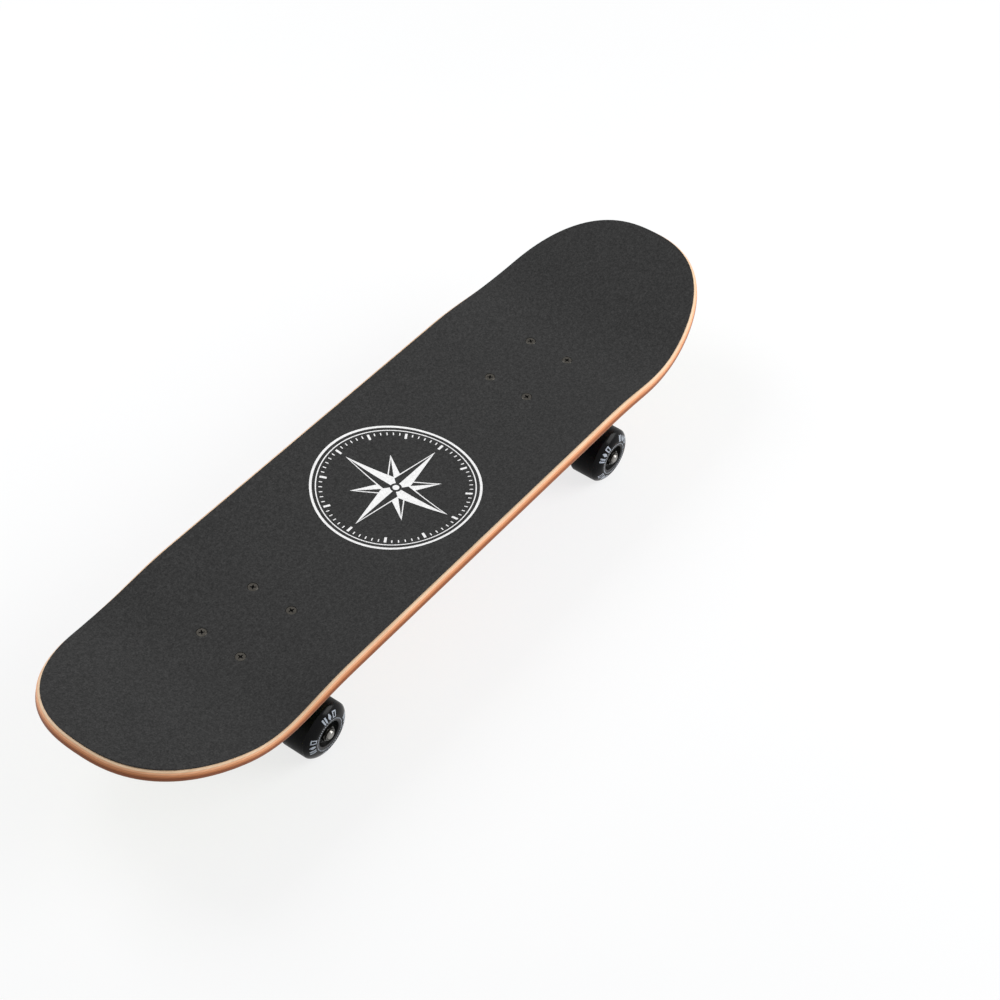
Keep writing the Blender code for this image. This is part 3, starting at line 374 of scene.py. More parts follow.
def maple_material():
    """The deck's edge: seven plies by their depth, with fine grain that runs along them, and painted
    highlight and shade in the plies' colours.
    """
    made, tree, shader = new_material("maple_plies_painted_light", 0.45, specular=0.25)
    depth = node(tree, "ShaderNodeAttribute", attribute_name="ply_depth").outputs["Fac"]
    # Colours from the top ply down, with painted light in them: the top ply paler as a painted
    # highlight on the rounded top edge, the plies below darker downwards as painted shade, and the
    # lowest paler against the shade on the lower rounding.
    plies_with_painted_light = [
        srgb(255, 224, 190), srgb(255, 194, 152), srgb(230, 156, 108), srgb(194, 122, 76),
        srgb(152, 86, 48), srgb(150, 92, 58), srgb(204, 162, 136),
    ]
    glue_shades = [0.74, 0.62, 0.70, 0.16, 0.66, 0.50]
    glue_start = 0.84
    stops = [(i / len(plies_with_painted_light), colour) for i, colour in enumerate(plies_with_painted_light)]
    for i, glue_shade in enumerate(glue_shades):
        stops.append(((i + glue_start) / len(plies_with_painted_light), shade(plies_with_painted_light[i], glue_shade)))
    grain = noise(tree, 900, 4.0, stretch=(0.05, 0.05, 1.0))
    ply_and_shade_bands = ramp(depth, sorted(stops), "CONSTANT")
    streaks = between(grain, (0.86, 0.82, 0.77), grey(1.0))
    slow = between(noise(tree, 14, 2.0), (0.92, 0.88, 0.84), grey(1.0))
    colour = multiplied(ply_and_shade_bands, streaks, slow)
    set_inputs(shader, {"Base Color": colour, "Normal": bumped(grain, 0.10, 0.0003)})
    return made


def print_material(name, colour):
    """A printed colour on maple under clear lacquer, with the wood's grain just showing."""
    made, tree, shader = new_material(name, 0.24, coat=0.2, specular=0.25)
    grain = noise(tree, 60, 5.0, stretch=(0.06, 1.0, 1.0))
    set_inputs(shader, {
        "Base Color": between(grain, shade(colour, 0.90), shade(colour, 1.06), 0.32, 0.62),
        "Roughness": spread(noise(tree, 25, 2.0), 0.20, 0.30),
        "Normal": bumped(grain, 0.03, 0.0002),
    })
    return made


def plain_material(
    name, colour, rough, metallic=0.0, scale=300, bump=0.1, coat=0.0, specular=0.5
):
    """One colour with a little noise in its shade, roughness and surface."""
    made, tree, shader = new_material(name, rough[0], metallic, coat, specular)
    grain = noise(tree, scale, 4.0)
    set_inputs(shader, {
        "Base Color": between(grain, shade(colour, 0.82), shade(colour, 1.12)),
        "Roughness": spread(grain, *rough),
        "Normal": bumped(grain, bump, 0.0002),
    })
    return made


def rubber_material(name, colour, rough, specular=0.5, subsurface=0.0):
    made = plain_material(name, colour, rough, scale=180, bump=0.08, specular=specular)
    values = {"Weight": subsurface, "Scale": 0.004, "Radius": (1.0, 0.75, 0.70)}
    values = {f"Subsurface {key}": value for key, value in values.items()}
    set_inputs(made.node_tree.nodes["Principled BSDF"], values)
    return made


BLACK_GRIT = grit_material("black_grit", 0.0115, 0.047)
WHITE_GRIT = plain_material("white_grit", grey(0.90), (0.7, 0.9), scale=700, bump=0.3)
MAPLE = maple_material()
BLACK_METAL = plain_material("black_casting", (0.017, 0.017, 0.018), (0.30, 0.42), 0, 900, 0.18, 0.1)
BOLT_STEEL = plain_material("bronzed_steel", (0.060, 0.055, 0.047), (0.16, 0.28), 0.75)
DARK_STEEL = plain_material("blackened_steel", (0.040, 0.037, 0.033), (0.22, 0.34), 0.8)
AXLE_STEEL = plain_material("dull_steel", (0.26, 0.25, 0.235), (0.22, 0.36), 1.0, 500, 0.06)
BRIGHT_STEEL = plain_material("zinc_steel", (0.72, 0.72, 0.70), (0.16, 0.28), 1.0, 500, 0.06)
BEARING_STEEL = plain_material("bearing_steel", grey(0.16), (0.22, 0.34), 1.0, 500, 0.04)
# Black of the bearing shields and the wheel cores, and also the painted shade in the bolts' cross
# recesses.
SHIELD_RUBBER_AND_RECESS_SHADE = plain_material("bearing_shield_and_recess_shade", grey(0.006), (0.35, 0.5), specular=0.2)
CUP_PLASTIC = plain_material("pivot_cup_plastic", grey(0.02), (0.4, 0.55))
TREAD = rubber_material("urethane_tread", (0.0040, 0.0040, 0.0045), (0.34, 0.46), 0.06)
SIDEWALL = rubber_material("urethane_sidewall", (0.0034, 0.0034, 0.0042), (0.14, 0.22), 0.08)
HUB_RING = rubber_material("urethane_hub_ring", (0.018, 0.018, 0.020), (0.45, 0.6), 0.35)
WHITE_INK = plain_material("white_ink", srgb(170, 178, 190), (0.35, 0.5))
PINK_URETHANE = rubber_material("pink_urethane", srgb(255, 158, 152), (0.25, 0.38), 0.5, 0.35)

PRINT_COLOURS = {
    "khaki": srgb(196, 190, 112),
    "ink": srgb(34, 30, 29),
    "green": srgb(66, 160, 76),
    "lime": srgb(172, 196, 58),
    "white": srgb(226, 232, 238),
    "orange": srgb(236, 110, 58),
    "peach": srgb(236, 168, 136),
    "pink": srgb(244, 132, 178),
    "crimson": srgb(226, 40, 92),
    "yellow": srgb(232, 202, 64),
    "purple": srgb(128, 52, 146),
    "blue": srgb(62, 136, 196),
}
PRINTS = [print_material(f"print_{name}", colour) for name, colour in PRINT_COLOURS.items()]


# Meshes


def build_mesh(name, points, faces, materials, painted=None):
    """A mesh from points and faces, with a material's number for each face."""
    mesh = bpy.data.meshes.new(name)
    mesh.from_pydata(points, [], faces)
    for made in materials:
        mesh.materials.append(made)
    if painted:
        mesh.polygons.foreach_set("material_index", painted)
    mesh.update()
    return mesh


def soften(mesh, degrees=32):
    mesh.shade_smooth()
    mesh.set_sharp_from_angle(angle=radians(degrees))


def skin(rows):
    """Faces between rows of point numbers, where each row runs once round."""
    faces = []
    for upper, lower in zip(rows, rows[1:]):
        for i in range(len(upper)):
            after = (i + 1) % len(upper)
            corners = [upper[i], lower[i], lower[after], upper[after]]
            faces.append(list(dict.fromkeys(corners)))
    return faces


def lathe(name, profile, materials, steps=96, ring=False, paint=None):
    """A turned mesh about Z. The profile of (radius, height) runs down its outer side.

    paint(row, step) gives the number of a cell's material.
    """
    points, rows = [], []
    for radius, height in profile:
        around = circle(0, 0, radius, steps) if radius else [(0, 0)]
        rows.append([len(points) + i % len(around) for i in range(steps)])
        points += [(x, y, height) for x, y in around]
    faces = skin(rows + rows[:1] if ring else rows)
    painted = [paint(*divmod(i, steps)) for i in range(len(faces))] if paint else None
    mesh = build_mesh(name, points, faces, materials, painted)
    soften(mesh)
    return mesh


def eased_ring(name, profile, radius, material, steps):
    """A turned ring whose profile has its corners rounded by short curves."""
    corners = [Vector(point) for point in profile]
    points = []
    for i, corner in enumerate(corners):
        ways = corners[i - 1] - corner, corners[(i + 1) % len(corners)] - corner
        start, end = (corner + w.normalized() * min(radius, w.length * 0.45) for w in ways)
        for step in range(CORNER_STEPS + 1):
            share = step / CORNER_STEPS
            points.append(tuple(start.lerp(corner, share).lerp(corner.lerp(end, share), share)))
    return lathe(name, points, [material], steps, ring=True)


def threads(radius, depth, pitch, high, low):
    """Profile points for a thread between two heights, from the upper one down."""
    turns = max(int((high - low) / pitch), 1)
    step = (high - low) / turns
    points = []
    for i in range(turns):
        points.append((radius, high - step * (i + 0.15)))
        points.append((radius - depth, high - step * (i + 0.55)))
    return points


def rod(radius, low, high, material, steps):
    """A solid rod about Z."""
    profile = [(0, high), (radius, high), (radius, low), (0, low)]
    return lathe("rod", profile, [material], steps)


def prism(flats, low, high, material, sides=6):
    """A prism about Z by the width across its flats, with a corner towards +X."""
    return rod(flats / 2 / cos(pi / sides), low, high, material, sides)


def placed(name, data, at=None):
    """A new object in the scene."""
    made = bpy.data.objects.new(name, data)
    bpy.context.scene.collection.objects.link(made)
    if at is not None:
        made.matrix_world = at
    return made


def add_piece(name, mesh, body, slot, replaced=(), at=None):
    """A piece of the board, in place and riding on its body."""
    piece = placed(name, mesh, at)
    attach(piece, body)
    if replaced:
        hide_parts(*replaced)


def add_fine(label, mesh, body, slot, at):
    """A piece in the place of the plainer one with this label."""
    add_piece(f"{label}_fine", mesh, body, slot, [label], at)


def modify(made, kind, **settings):
    configured(made.modifiers.new(kind.lower(), kind), **settings)


def applied(made):
    """The finished mesh of a temporary shape, in world space. The shape is removed."""
    bpy.context.view_layer.update()
    graph = bpy.context.evaluated_depsgraph_get()
    mesh = bpy.data.meshes.new_from_object(made.evaluated_get(graph))
    mesh.transform(made.matrix_world)
    bpy.data.objects.remove(made)
    return mesh


def combined(first, *steps):
    """A mesh with others joined to it, cut from it or kept common with it, in order."""
    base = placed("shape", first)
    tools = [placed("tool", mesh) for _, mesh in steps]
    exactly = {"solver": "EXACT", "material_mode": "TRANSFER"}
    for (operation, _), tool in zip(steps, tools):
        modify(base, "BOOLEAN", operation=operation, object=tool, **exactly)
    mesh = applied(base)
    for tool in tools:
        bpy.data.objects.remove(tool)
    return mesh


def joined(name, material, *meshes, welded=False):
    """Several meshes of one material as one, each kept whole unless welded."""
    form = bmesh.new()
    for mesh in meshes:
        form.from_mesh(mesh)
    if welded:
        bmesh.ops.remove_doubles(form, verts=form.verts[:], dist=SAME_POINT)
        bmesh.ops.recalc_face_normals(form, faces=form.faces[:])
    made = bpy.data.meshes.new(name)
    form.to_mesh(made)
    form.free()
    made.materials.append(material)
    return made


def lock_nut(name, flats, height, collar_height, hole_diameter, material):
    """A lock nut with chamfered corners. Seat at z = 0, body and collar towards -Z."""
    half, inside, beyond = flats / 2, hole_diameter / 2, 2 * flats
    corner = half / cos(pi / 6)
    slope = (corner - half) * 0.5
    limits = [(0, 0), (half, 0), (corner, -slope), (corner, slope - height)]
    limits += [(half, -height), (0, -height)]
    hexagon = combined(
        prism(flats, -height, 0, material),
        ("INTERSECT", lathe("limits", limits, [material], 48)),
        ("DIFFERENCE", rod(inside, -beyond, beyond, material, 48)),
    )
    collar, bottom, lip = half * 0.92, -height - collar_height, 0.0004
    rim = [(inside, -height / 2), (collar, -height / 2), (collar, bottom)]
    rim += [(collar * 0.82, bottom), (collar * 0.80, bottom + lip), (inside, bottom + lip)]
    mesh = joined(name, material, hexagon, eased_ring("collar", rim, 0.0005, material, 48))
    soften(mesh, 25)
    return mesh


# Deck


def depth_below(point):
    """How deep a world point lies below the deck's upper face."""
    x, y = point.x - TRUCKS_CENTRE_X, point.y
    return (surface_point(x, y).z - point.z) * surface_normal(x, y).z


def bolt_holes():
    """Cutters for the eight countersunk bolt holes, as one mesh."""
    wide, narrow = (size / 2 + BOLT_HOLE_GAP for size in (BOLT_HEAD_DIAMETER, BOLT_DIAMETER))
    beyond = 3 * DECK_THICKNESS
    profile = [(0, beyond), (wide, beyond), (wide, 0), (narrow, narrow - wide)]
    profile += [(narrow, -beyond), (0, -beyond)]
    cutters = []
    for _, _, x, y in bolt_places():
        cutters.append(lathe("bolt_hole", profile, [MAPLE], 40))
        cutters[-1].transform(Matrix.Translation(surface_point(x, y)))
    return joined("bolt_holes", MAPLE, *cutters)


def face_rows(rounding):
    """Rows of a face from its spine over its edge: (share of the way out, inset, depth)."""
    arcs = [pi / 2 * i / EDGE_ARC_STEPS for i in range(EDGE_ARC_STEPS + 1)]
    rows = [(row / DECK_ROWS, rounding, 0.0) for row in range(DECK_ROWS)]
    return rows + [(1.0, rounding * (1 - sin(a)), rounding * (1 - cos(a))) for a in arcs]


def build_deck():
    """The maple deck: both faces as rows from its spine to its rim, and a rounded edge."""
    rows = face_rows(UPPER_ROUNDING)
    for share, inset, depth in reversed(face_rows(LOWER_ROUNDING)):
        rows.append((share, inset, DECK_THICKNESS - depth))
    spine_nose, spine_tail = NOSE_REACH - HALF_WIDTH, TAIL_REACH - HALF_WIDTH
    points, numbers = [], []
    for share, inset, depth in rows:
        outline = deck_outline(inset)
        numbers.append(range(len(points), len(points) + len(outline)))
        for x, y in outline:
            spine = min(max(x, -spine_tail), spine_nose)
            points.append(on_surface(spine + (x - spine) * share, y * share, depth)[0])
    whole = build_mesh("whole_deck", points, skin(numbers), [MAPLE])
    whole = joined("whole_deck", MAPLE, whole, welded=True)
    mesh = combined(whole, ("DIFFERENCE", bolt_holes()))
    mesh.name = "maple_deck"
    layer = mesh.attributes.new("ply_depth", "FLOAT", "POINT")
    depths = [depth_below(vertex.co) / DECK_THICKNESS for vertex in mesh.vertices]
    layer.data.foreach_set("value", depths)
    soften(mesh, 40)
    add_piece("maple_deck", mesh, "board", "maple", ["deck"])


def anticlockwise(loop):
    """The loop's points, turned about where they run clockwise."""
    area = sum(a[0] * b[1] - a[1] * b[0] for a, b in zip(loop, loop[1:] + loop[:1]))
    return loop if area > 0 else loop[::-1]


def stepped(loop):
    """A loop whose long sides are split, so that they can follow the curved face."""
    points = []
    for start, end in zip(loop, loop[1:] + loop[:1]):
        start, end = Vector(start), Vector(end)
        steps = max(1, ceil((end - start).length / SHEET_SPACING))
        points += [start.lerp(end, i / steps) for i in range(steps)]
    return points


def cut_sheet(outline, shapes, holes):
    """Cuts the inside of an outline along painted shapes, over a grid of points.

    shapes are (loop, paint number), the later ones on top. Gives the flat points, and the
    triangles with their paints.
    """
    points, loops, paints = [], [], []
    for loop, paint in [(outline, 0), *shapes, *((hole, None) for hole in holes)]:
        loop = stepped(anticlockwise(loop))
        loops.append(list(range(len(points), len(points) + len(loop))))
        points += loop
        paints.append(paint)
    columns, rows = (int(reach / SHEET_SPACING) for reach in (NOSE_REACH, HALF_WIDTH))
    for i in range(-columns, columns + 1):
        for j in range(-rows, rows + 1):
            y = (j + 0.5 * (i % 2)) * SHEET_SPACING
            points.append(Vector((i * SHEET_SPACING, y)))
    flat, _, triangles, _, _, origins = delaunay_2d_cdt(points, [], loops, 1, SAME_POINT)
    tops = [paints[max(origin)] if 0 in origin else None for origin in origins]
    return flat, [(cut, top) for cut, top in zip(triangles, tops) if top is not None]


def sheet_mesh(name, outline, shapes, holes, depth, thickness, materials):
    """A thin closed sheet that follows the deck's surface, from a depth downwards."""
    flat, painted = cut_sheet(outline, shapes, holes)
    used = sorted({corner for triangle, _ in painted for corner in triangle})
    number = {corner: i for i, corner in enumerate(used)}
    places = [on_surface(*flat[corner], depth) for corner in used]
    upper, normals = [place[0] for place in places], [place[1] for place in places]
    lower = [point - normal * thickness for point, normal in places]
    count = len(used)
    faces, paints, loop_normals, edges = [], [], [], {}
    for triangle, paint in painted:
        a, b, c = (number[corner] for corner in triangle)
        faces += [(a, b, c), (c + count, b + count, a + count)]
        paints += [paint, paint]
        loop_normals += [normals[a], normals[b], normals[c]]
        loop_normals += [-normals[c], -normals[b], -normals[a]]
        edges.update({(a, b): paint, (b, c): paint, (c, a): paint})
    for (start, end), paint in edges.items():
        if (end, start) not in edges:
            faces.append((end, start, start + count, end + count))
            paints.append(paint)
            along = upper[end] - upper[start]
            loop_normals += [along.cross(normals[start]).normalized()] * 4
    mesh = build_mesh(name, upper + lower, faces, materials, paints)
    mesh.shade_smooth()
    mesh.normals_split_custom_set([tuple(normal) for normal in loop_normals])
    return mesh


def bolt_places():
    """The eight deck bolts: (truck name, number, x, y) from the trucks' centre."""
    places = []
    for end in ("front", "rear"):
        for number in range(1, 5):
            at = middle(f"{end}_deck_nut_{number}")
            places.append((end, number, at.x - TRUCKS_CENTRE_X, at.y))
    return places


def turned(x, y, turn, points):
    """Points turned about the origin and then moved to (x, y)."""
    c, s = cos(turn), sin(turn)
    return [(x + along * c - across * s, y + along * s + across * c) for along, across in points]


def circle(x, y, radius, steps=48, grow=0.0):
    angles = [2 * pi * i / steps for i in range(steps)]
    return [(x + (radius + grow) * cos(a), y + (radius + grow) * sin(a)) for a in angles]


def star(x, y, radius, points, inner, turn=0.0, grow=0.0):
    """A star with sharp points. All its edges move out by the same grow."""
    half = pi / points
    edge = inner * sin(half) / ((1 - inner * cos(half)) ** 2 + (inner * sin(half)) ** 2) ** 0.5
    full = radius + grow / edge
    reaches = (full, full * inner) * points
    loop = [(reach * cos(half * i), reach * sin(half * i)) for i, reach in enumerate(reaches)]
    return turned(x, y, turn, loop)


def blob(x, y, long, wide, turn, lobes, swell, grow=0.0):
    """A round form with soft lobes along its edge."""
    steps = 120
    loop = []
    for i in range(steps):
        angle = 2 * pi * i / steps
        wave = 1 + swell * cos(lobes * angle)
        loop.append(((long * wave + grow) * cos(angle), (wide * wave + grow) * sin(angle)))
    return turned(x, y, turn, loop)


def leaf(x, y, length, turn, grow=0.0):
    """A leaf with two pointed tips."""
    long, wide = length / 2 + 1.5 * grow, length * LEAF_WIDTH / 2 + grow
    steps = 18
    loop = []
    for side in (1, -1):
        for i in range(steps):
            share = i / steps
            loop.append((side * long * (1 - 2 * share), side * wide * sin(pi * share)))
    return turned(x, y, turn, loop)


def band(points, half_width, grow=0.0):
    """The outline of a band along points, with mitred corners and square ends."""
    points = [Vector(point) for point in points]
    left, right = [], []
    for i, at in enumerate(points):
        into = at - points[i - 1] if i > 0 else points[1] - at
        out = points[i + 1] - at if i < len(points) - 1 else into
        square = Vector((-into.y, into.x)).normalized()
        mitre = (square + Vector((-out.y, out.x)).normalized()).normalized()
        shift = mitre * (half_width + grow) / max(mitre.dot(square), 0.35)
        left.append(tuple(at + shift))
        right.append(tuple(at - shift))
    return left + right[::-1]


def swung(start, end, swing, offsets):
    """Points evenly along a line, each beside it by its offset times the swing."""
    start, along = Vector(start), Vector(end) - Vector(start)
    square = Vector((-along.y, along.x)).normalized() * swing
    steps = len(offsets) - 1
    return [start + along * i / steps + square * offset for i, offset in enumerate(offsets)]


def compass_point(reach, waist):
    """A point of the compass star along +X: one half solid, the other drawn in outline."""
    thin = 0.0009
    slant = Vector((1, 1)).normalized()
    tip, left, right = Vector((reach, 0)), slant * waist, Vector((slant.x, -slant.y)) * waist
    start = Vector((1.5 * thin, 0)) + slant * thin
    hollow = [start, tip - Vector((4.5 * thin, 0)), left - slant * 1.6 * thin]
    centre = (0, 0)
    halves = [([centre, right, tip], 1), ([centre, tip, left], 1)]
    return [([centre, right, tip, left], 0), *halves, (hollow, 0)]


def compass_shapes():
    """The white mark on the grip: a plain eight-pointed compass star inside two rings."""
    rings = ((0.0, 1), (0.0022, 0), (0.0050, 1), (0.0060, 0))
    shapes = [(circle(0, 0, MARK_RADIUS - inset, 120), paint) for inset, paint in rings]
    outer = MARK_RADIUS - 0.0082
    for i in range(72):
        length, half = (0.0062, 0.0011) if i % 6 == 0 else (0.0030, 0.0005)
        tick = [(outer - length, -half), (outer, -half), (outer, half), (outer - length, half)]
        shapes.append((turned(0, 0, 2 * pi * i / 72, tick), 1))
    for start, reach, waist in ((pi / 4, 0.040, 0.0105), (0.0, 0.0560, 0.0125)):
        for i in range(4):
            for loop, paint in compass_point(reach, waist):
                shapes.append((turned(0, 0, start + pi / 2 * i, loop), paint))
    return shapes + [(circle(0, 0, 0.0052, 120), 0), (circle(0, 0, 0.0030), 1)]


def add_sheet(name, inset, shapes, hole, depth, thickness, materials, slot, replaced=()):
    """A sheet over the whole deck, with a (radius, steps) hole round each bolt."""
    holes = [circle(x, y, *hole) for _, _, x, y in bolt_places()]
    outline = deck_outline(inset)
    mesh = sheet_mesh(name, outline, shapes, holes, depth, thickness, materials)
    add_piece(name, mesh, "board", slot, replaced)


def build_grip():
    hole = (BOLT_HEAD_DIAMETER / 2 + GRIP_HOLE_GAP, 40)
    add_sheet(
        "grip_sheet", GRIP_INSET, compass_shapes(), hole, DECK_TOP - GRIP_TOP, GRIP_THICKNESS,
        [BLACK_GRIT, WHITE_GRIT], "grip", ["grip_tape"],
    )


# Print under the deck: leaves all over, with big bold forms on top of them


def inked(form, colour, *sizes):
    """A form in a colour with an ink line round it."""
    half = INK_LINE / 2
    return [(form(*sizes, grow=half), "ink"), (form(*sizes, grow=-half), colour)]


def inked_leaf(x, y, length, turn, colour, vein_colour):
    """A leaf with a midrib and three pairs of side veins."""
    shapes = inked(leaf, colour, x, y, length, turn)
    veins = [((-0.50, 0), (0.36, 0))]
    for step in (-0.24, -0.06, 0.12):
        reach = LEAF_WIDTH * (0.34 - abs(step) * 0.45)
        veins += [((step, 0), (step + 0.13, side * reach)) for side in (1, -1)]
    for vein in veins:
        ends = turned(x, y, turn, [(length * along, length * across) for along, across in vein])
        shapes.append((band(ends, length * 0.014), vein_colour))
    return shapes


def leaf_ground():
    """Rows of leaves that turn this way and that over the whole board."""
    shapes = []
    spacing = 0.041
    for i in range(-9, 10):
        for j in range(-3, 4):
            x, y = i * spacing, (j + 0.5 * (i % 2)) * spacing
            number = 5 * i + 3 * j
            colours = ("green", "lime") if number % 2 else ("lime", "green")
            length = 0.049 + 0.002 * (number % 3)
            shapes += inked_leaf(x, y, length, radians(137.5 * number), *colours)
            shapes.append((circle(x + spacing * 0.5, y + spacing * 0.02, 0.0026, 20), "yellow"))
    return shapes


def cloud(x, y, size, turn, colour):
    """A cloud of round puffs inside one ink line."""
    puffs = [(-1.0, 0.0, 0.62), (-0.35, 0.42, 0.72), (0.45, 0.35, 0.66), (1.0, -0.05, 0.52)]
    puffs += [(0.3, -0.35, 0.62), (-0.4, -0.35, 0.60)]
    centres = turned(x, y, turn, [(size * along, size * across) for along, across, _ in puffs])
    shapes = []
    for grow, name in ((INK_LINE / 2, "ink"), (-INK_LINE / 2, colour)):
        for at, puff in zip(centres, puffs):
            shapes.append((circle(*at, size * puff[2], 56, grow), name))
    return shapes


def wave_band(start, end, swing, waves, half_width, colour):
    """A wavy band with an ink line along both its sides."""
    steps = 72
    offsets = [sin(2 * pi * waves * i / steps) for i in range(steps + 1)]
    return inked(band, colour, swung(start, end, swing, offsets), half_width)


def zigzag(start, end, swing, teeth, half_width, colour):
    offsets = [1 if i % 2 else -1 for i in range(teeth + 1)]
    return [(band(swung(start, end, swing, offsets), half_width), colour)]


def spots(x, y, turn, spacing, across, along, radius, colour):
    """A field of round spots in staggered rows."""
    shapes = []
    for i in range(across):
        for j in range(along):
            u = (i - (across - 1) / 2 + 0.5 * (j % 2) - 0.25) * spacing
            v = (j - (along - 1) / 2) * spacing * 0.86
            at = turned(x, y, turn, [(u, v)])[0]
            size = radius * (0.75 + 0.25 * ((i + 2 * j) % 3) / 2)
            shapes.append((circle(*at, size, 28), colour))
    return shapes


def sparkles(x, y, count, colour):
    """A row of small stars, each turned further than the one before."""
    places = [(x - 0.016 * i, y + 0.007 * i) for i in range(count)]
    return [(star(*at, 0.009, 4, 0.42, 0.9 * i), colour) for i, at in enumerate(places)]


def arc(x, y, radius, start, sweep, half_width, colour):
    """A curved stroke between two directions, in degrees."""
    steps = max(12, int(abs(sweep) / 4))
    angles = [radians(start + sweep * i / steps) for i in range(steps + 1)]
    points = [(x + radius * cos(a), y + radius * sin(a)) for a in angles]
    return [(band(points, half_width), colour)]


def rainbow(x, y, radius, width, colours):
    """Nested arches inside one ink line, open towards +Y."""
    half = width / 2
    middle_radius = radius - width * (len(colours) - 1) / 2
    shapes = arc(x, y, middle_radius, 170, 200, half * len(colours) + INK_LINE / 2, "ink")
    for i, colour in enumerate(colours):
        trim = INK_LINE / 4 if i in (0, len(colours) - 1) else 0
        shapes += arc(x, y, radius - width * i, 170, 200, half - trim, colour)
    return shapes


def print_shapes():
    """The print from its ground up. A row of the drawing is a function and what it takes."""
    drawing = [
        (inked, blob, "crimson", -0.190, 0.046, 0.088, 0.070, 0.2, 5, 0.05),
        (inked, blob, "peach", 0.252, -0.010, 0.066, 0.078, 0.3, 5, 0.05),
        (inked, blob, "yellow", 0.010, 0.052, 0.115, 0.070, -0.1, 4, 0.04),
        (inked, blob, "orange", -0.035, -0.062, 0.100, 0.062, 0.15, 3, 0.07),
        (wave_band, (-0.065, -0.125), (-0.036, 0.010), 0.009, 0.9, 0.011, "lime"),
        (inked, blob, "pink", 0.165, 0.050, 0.086, 0.066, 0.35, 6, 0.05),
        (inked, blob, "purple", 0.110, -0.072, 0.086, 0.052, -0.2, 5, 0.06),
        (spots, -0.165, 0.036, 0.3, 0.023, 4, 4, 0.0058, "pink"),
        (spots, 0.140, 0.056, 0.35, 0.026, 4, 4, 0.0064, "white"),
        (spots, 0.268, -0.012, 0.3, 0.022, 2, 5, 0.0050, "orange"),
        (rainbow, -0.022, 0.098, 0.108, 0.0085, ("crimson", "orange", "lime", "blue", "purple")),
        (inked, star, "orange", -0.022, 0.086, 0.036, 14, 0.72, 0.1),
        (inked, circle, "yellow", -0.022, 0.086, 0.0165),
        (cloud, 0.070, 0.086, 0.034, 0.15, "blue"),
        (cloud, -0.115, 0.085, 0.034, -0.2, "white"),
        (inked, star, "yellow", -0.135, -0.052, 0.060, 5, 0.5, 0.4),
        (inked, star, "orange", -0.135, -0.052, 0.030, 5, 0.5, 0.4),
        (wave_band, (0.178, -0.125), (0.235, 0.125), 0.010, 1.25, 0.010, "crimson"),
        (wave_band, (-0.262, -0.125), (-0.215, 0.125), 0.009, 1.25, 0.009, "lime"),
        (zigzag, (0.045, -0.072), (0.165, -0.088), 0.010, 9, 0.0036, "lime"),
        (zigzag, (0.050, -0.054), (0.160, -0.068), 0.010, 9, 0.0016, "ink"),
        (inked, star, "green", 0.048, -0.018, 0.044, 8, 0.62, 0.2),
        (inked, star, "lime", 0.048, -0.018, 0.023, 8, 0.62, 0.2),
        (sparkles, -0.062, -0.070, 4, "white"),
        (arc, -0.190, 0.046, 0.058, 100, 50, 0.0016, "white"),
        (arc, 0.165, 0.050, 0.054, 20, 42, 0.0016, "white"),
        (arc, 0.252, -0.010, 0.056, -60, 45, 0.0016, "white"),
        (arc, 0.110, -0.072, 0.040, 200, 40, 0.0016, "white"),
        (arc, -0.035, -0.062, 0.048, 250, 60, 0.0016, "white"),
    ]
    shapes = leaf_ground()
    for draw, *values in drawing:
        shapes += draw(*values)
    return shapes


def build_print():
    hole = (BOLT_DIAMETER / 2 + BOLT_HOLE_GAP, 24)
    numbers = {name: i for i, name in enumerate(PRINT_COLOURS)}
    shapes = [(loop, numbers[colour]) for loop, colour in print_shapes()]
    depth = DECK_THICKNESS + PRINT_GAP
    add_sheet("print_sheet", PRINT_INSET, shapes, hole, depth, PRINT_THICKNESS, PRINTS, "maple")


# Fasteners


def build_bolts():
    """Countersunk bolts with a cross recess painted near-black as shade, and the nuts under the
    baseplates.
    """
    head, shank, lip = BOLT_HEAD_DIAMETER / 2, BOLT_DIAMETER / 2, 0.0003
    profile = [(0, 0), (head - 0.0004, 0), (head, -lip), (head, -0.0004)]
    profile.append((shank, shank - head - lip))
    thread_depth, pitch, thread_start, tip = 0.00035, 0.0008, -0.012, 0.0006
    profile += threads(shank, thread_depth, pitch, thread_start, tip - BOLT_LENGTH)
    profile += [(shank - 0.0005, -BOLT_LENGTH), (0, -BOLT_LENGTH)]
    # The cross recess and the socket are cut with the near-black shield material, so their walls
    # carry painted shade.
    long, narrow, deep, socket = 0.0025, 0.00055, 0.0020, 0.0013
    cuts = []
    for half_sizes in ((long, narrow), (narrow, long)):
        blade = prism(2, -deep, deep, SHIELD_RUBBER_AND_RECESS_SHADE, sides=4)
        stretch = Matrix.Diagonal((*half_sizes, 1, 1))
        blade.transform(stretch @ Matrix.Rotation(pi / 4, 4, "Z"))
        cuts.append(("DIFFERENCE", blade))
    well = [(0, deep), (socket, deep), (socket, -0.0006), (0, -deep)]
    cuts.append(("DIFFERENCE", lathe("socket", well, [SHIELD_RUBBER_AND_RECESS_SHADE], 24)))
    bolt = combined(lathe("bolt", profile, [BOLT_STEEL], 40), *cuts)
    soften(bolt, 30)
    nut = lock_nut("deck_nut", *DECK_NUT, BOLT_DIAMETER, DARK_STEEL)
    for end, number, x, y in bolt_places():
        turn = Matrix.Rotation(radians(37 * number + 11), 4, "Z")
        top = GRIP_TOP + surface_height(x, y) - BOLT_HEAD_SINK
        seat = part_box(f"{end}_deck_nut_{number}")[1].z
        for kind, mesh, height in (("bolt", bolt, top), ("nut", nut, seat)):
            at = Matrix.Translation((x + TRUCKS_CENTRE_X, y, height)) @ turn
            add_fine(f"{end}_deck_{kind}_{number}", mesh, "board", "dark_steel", at)


# Trucks


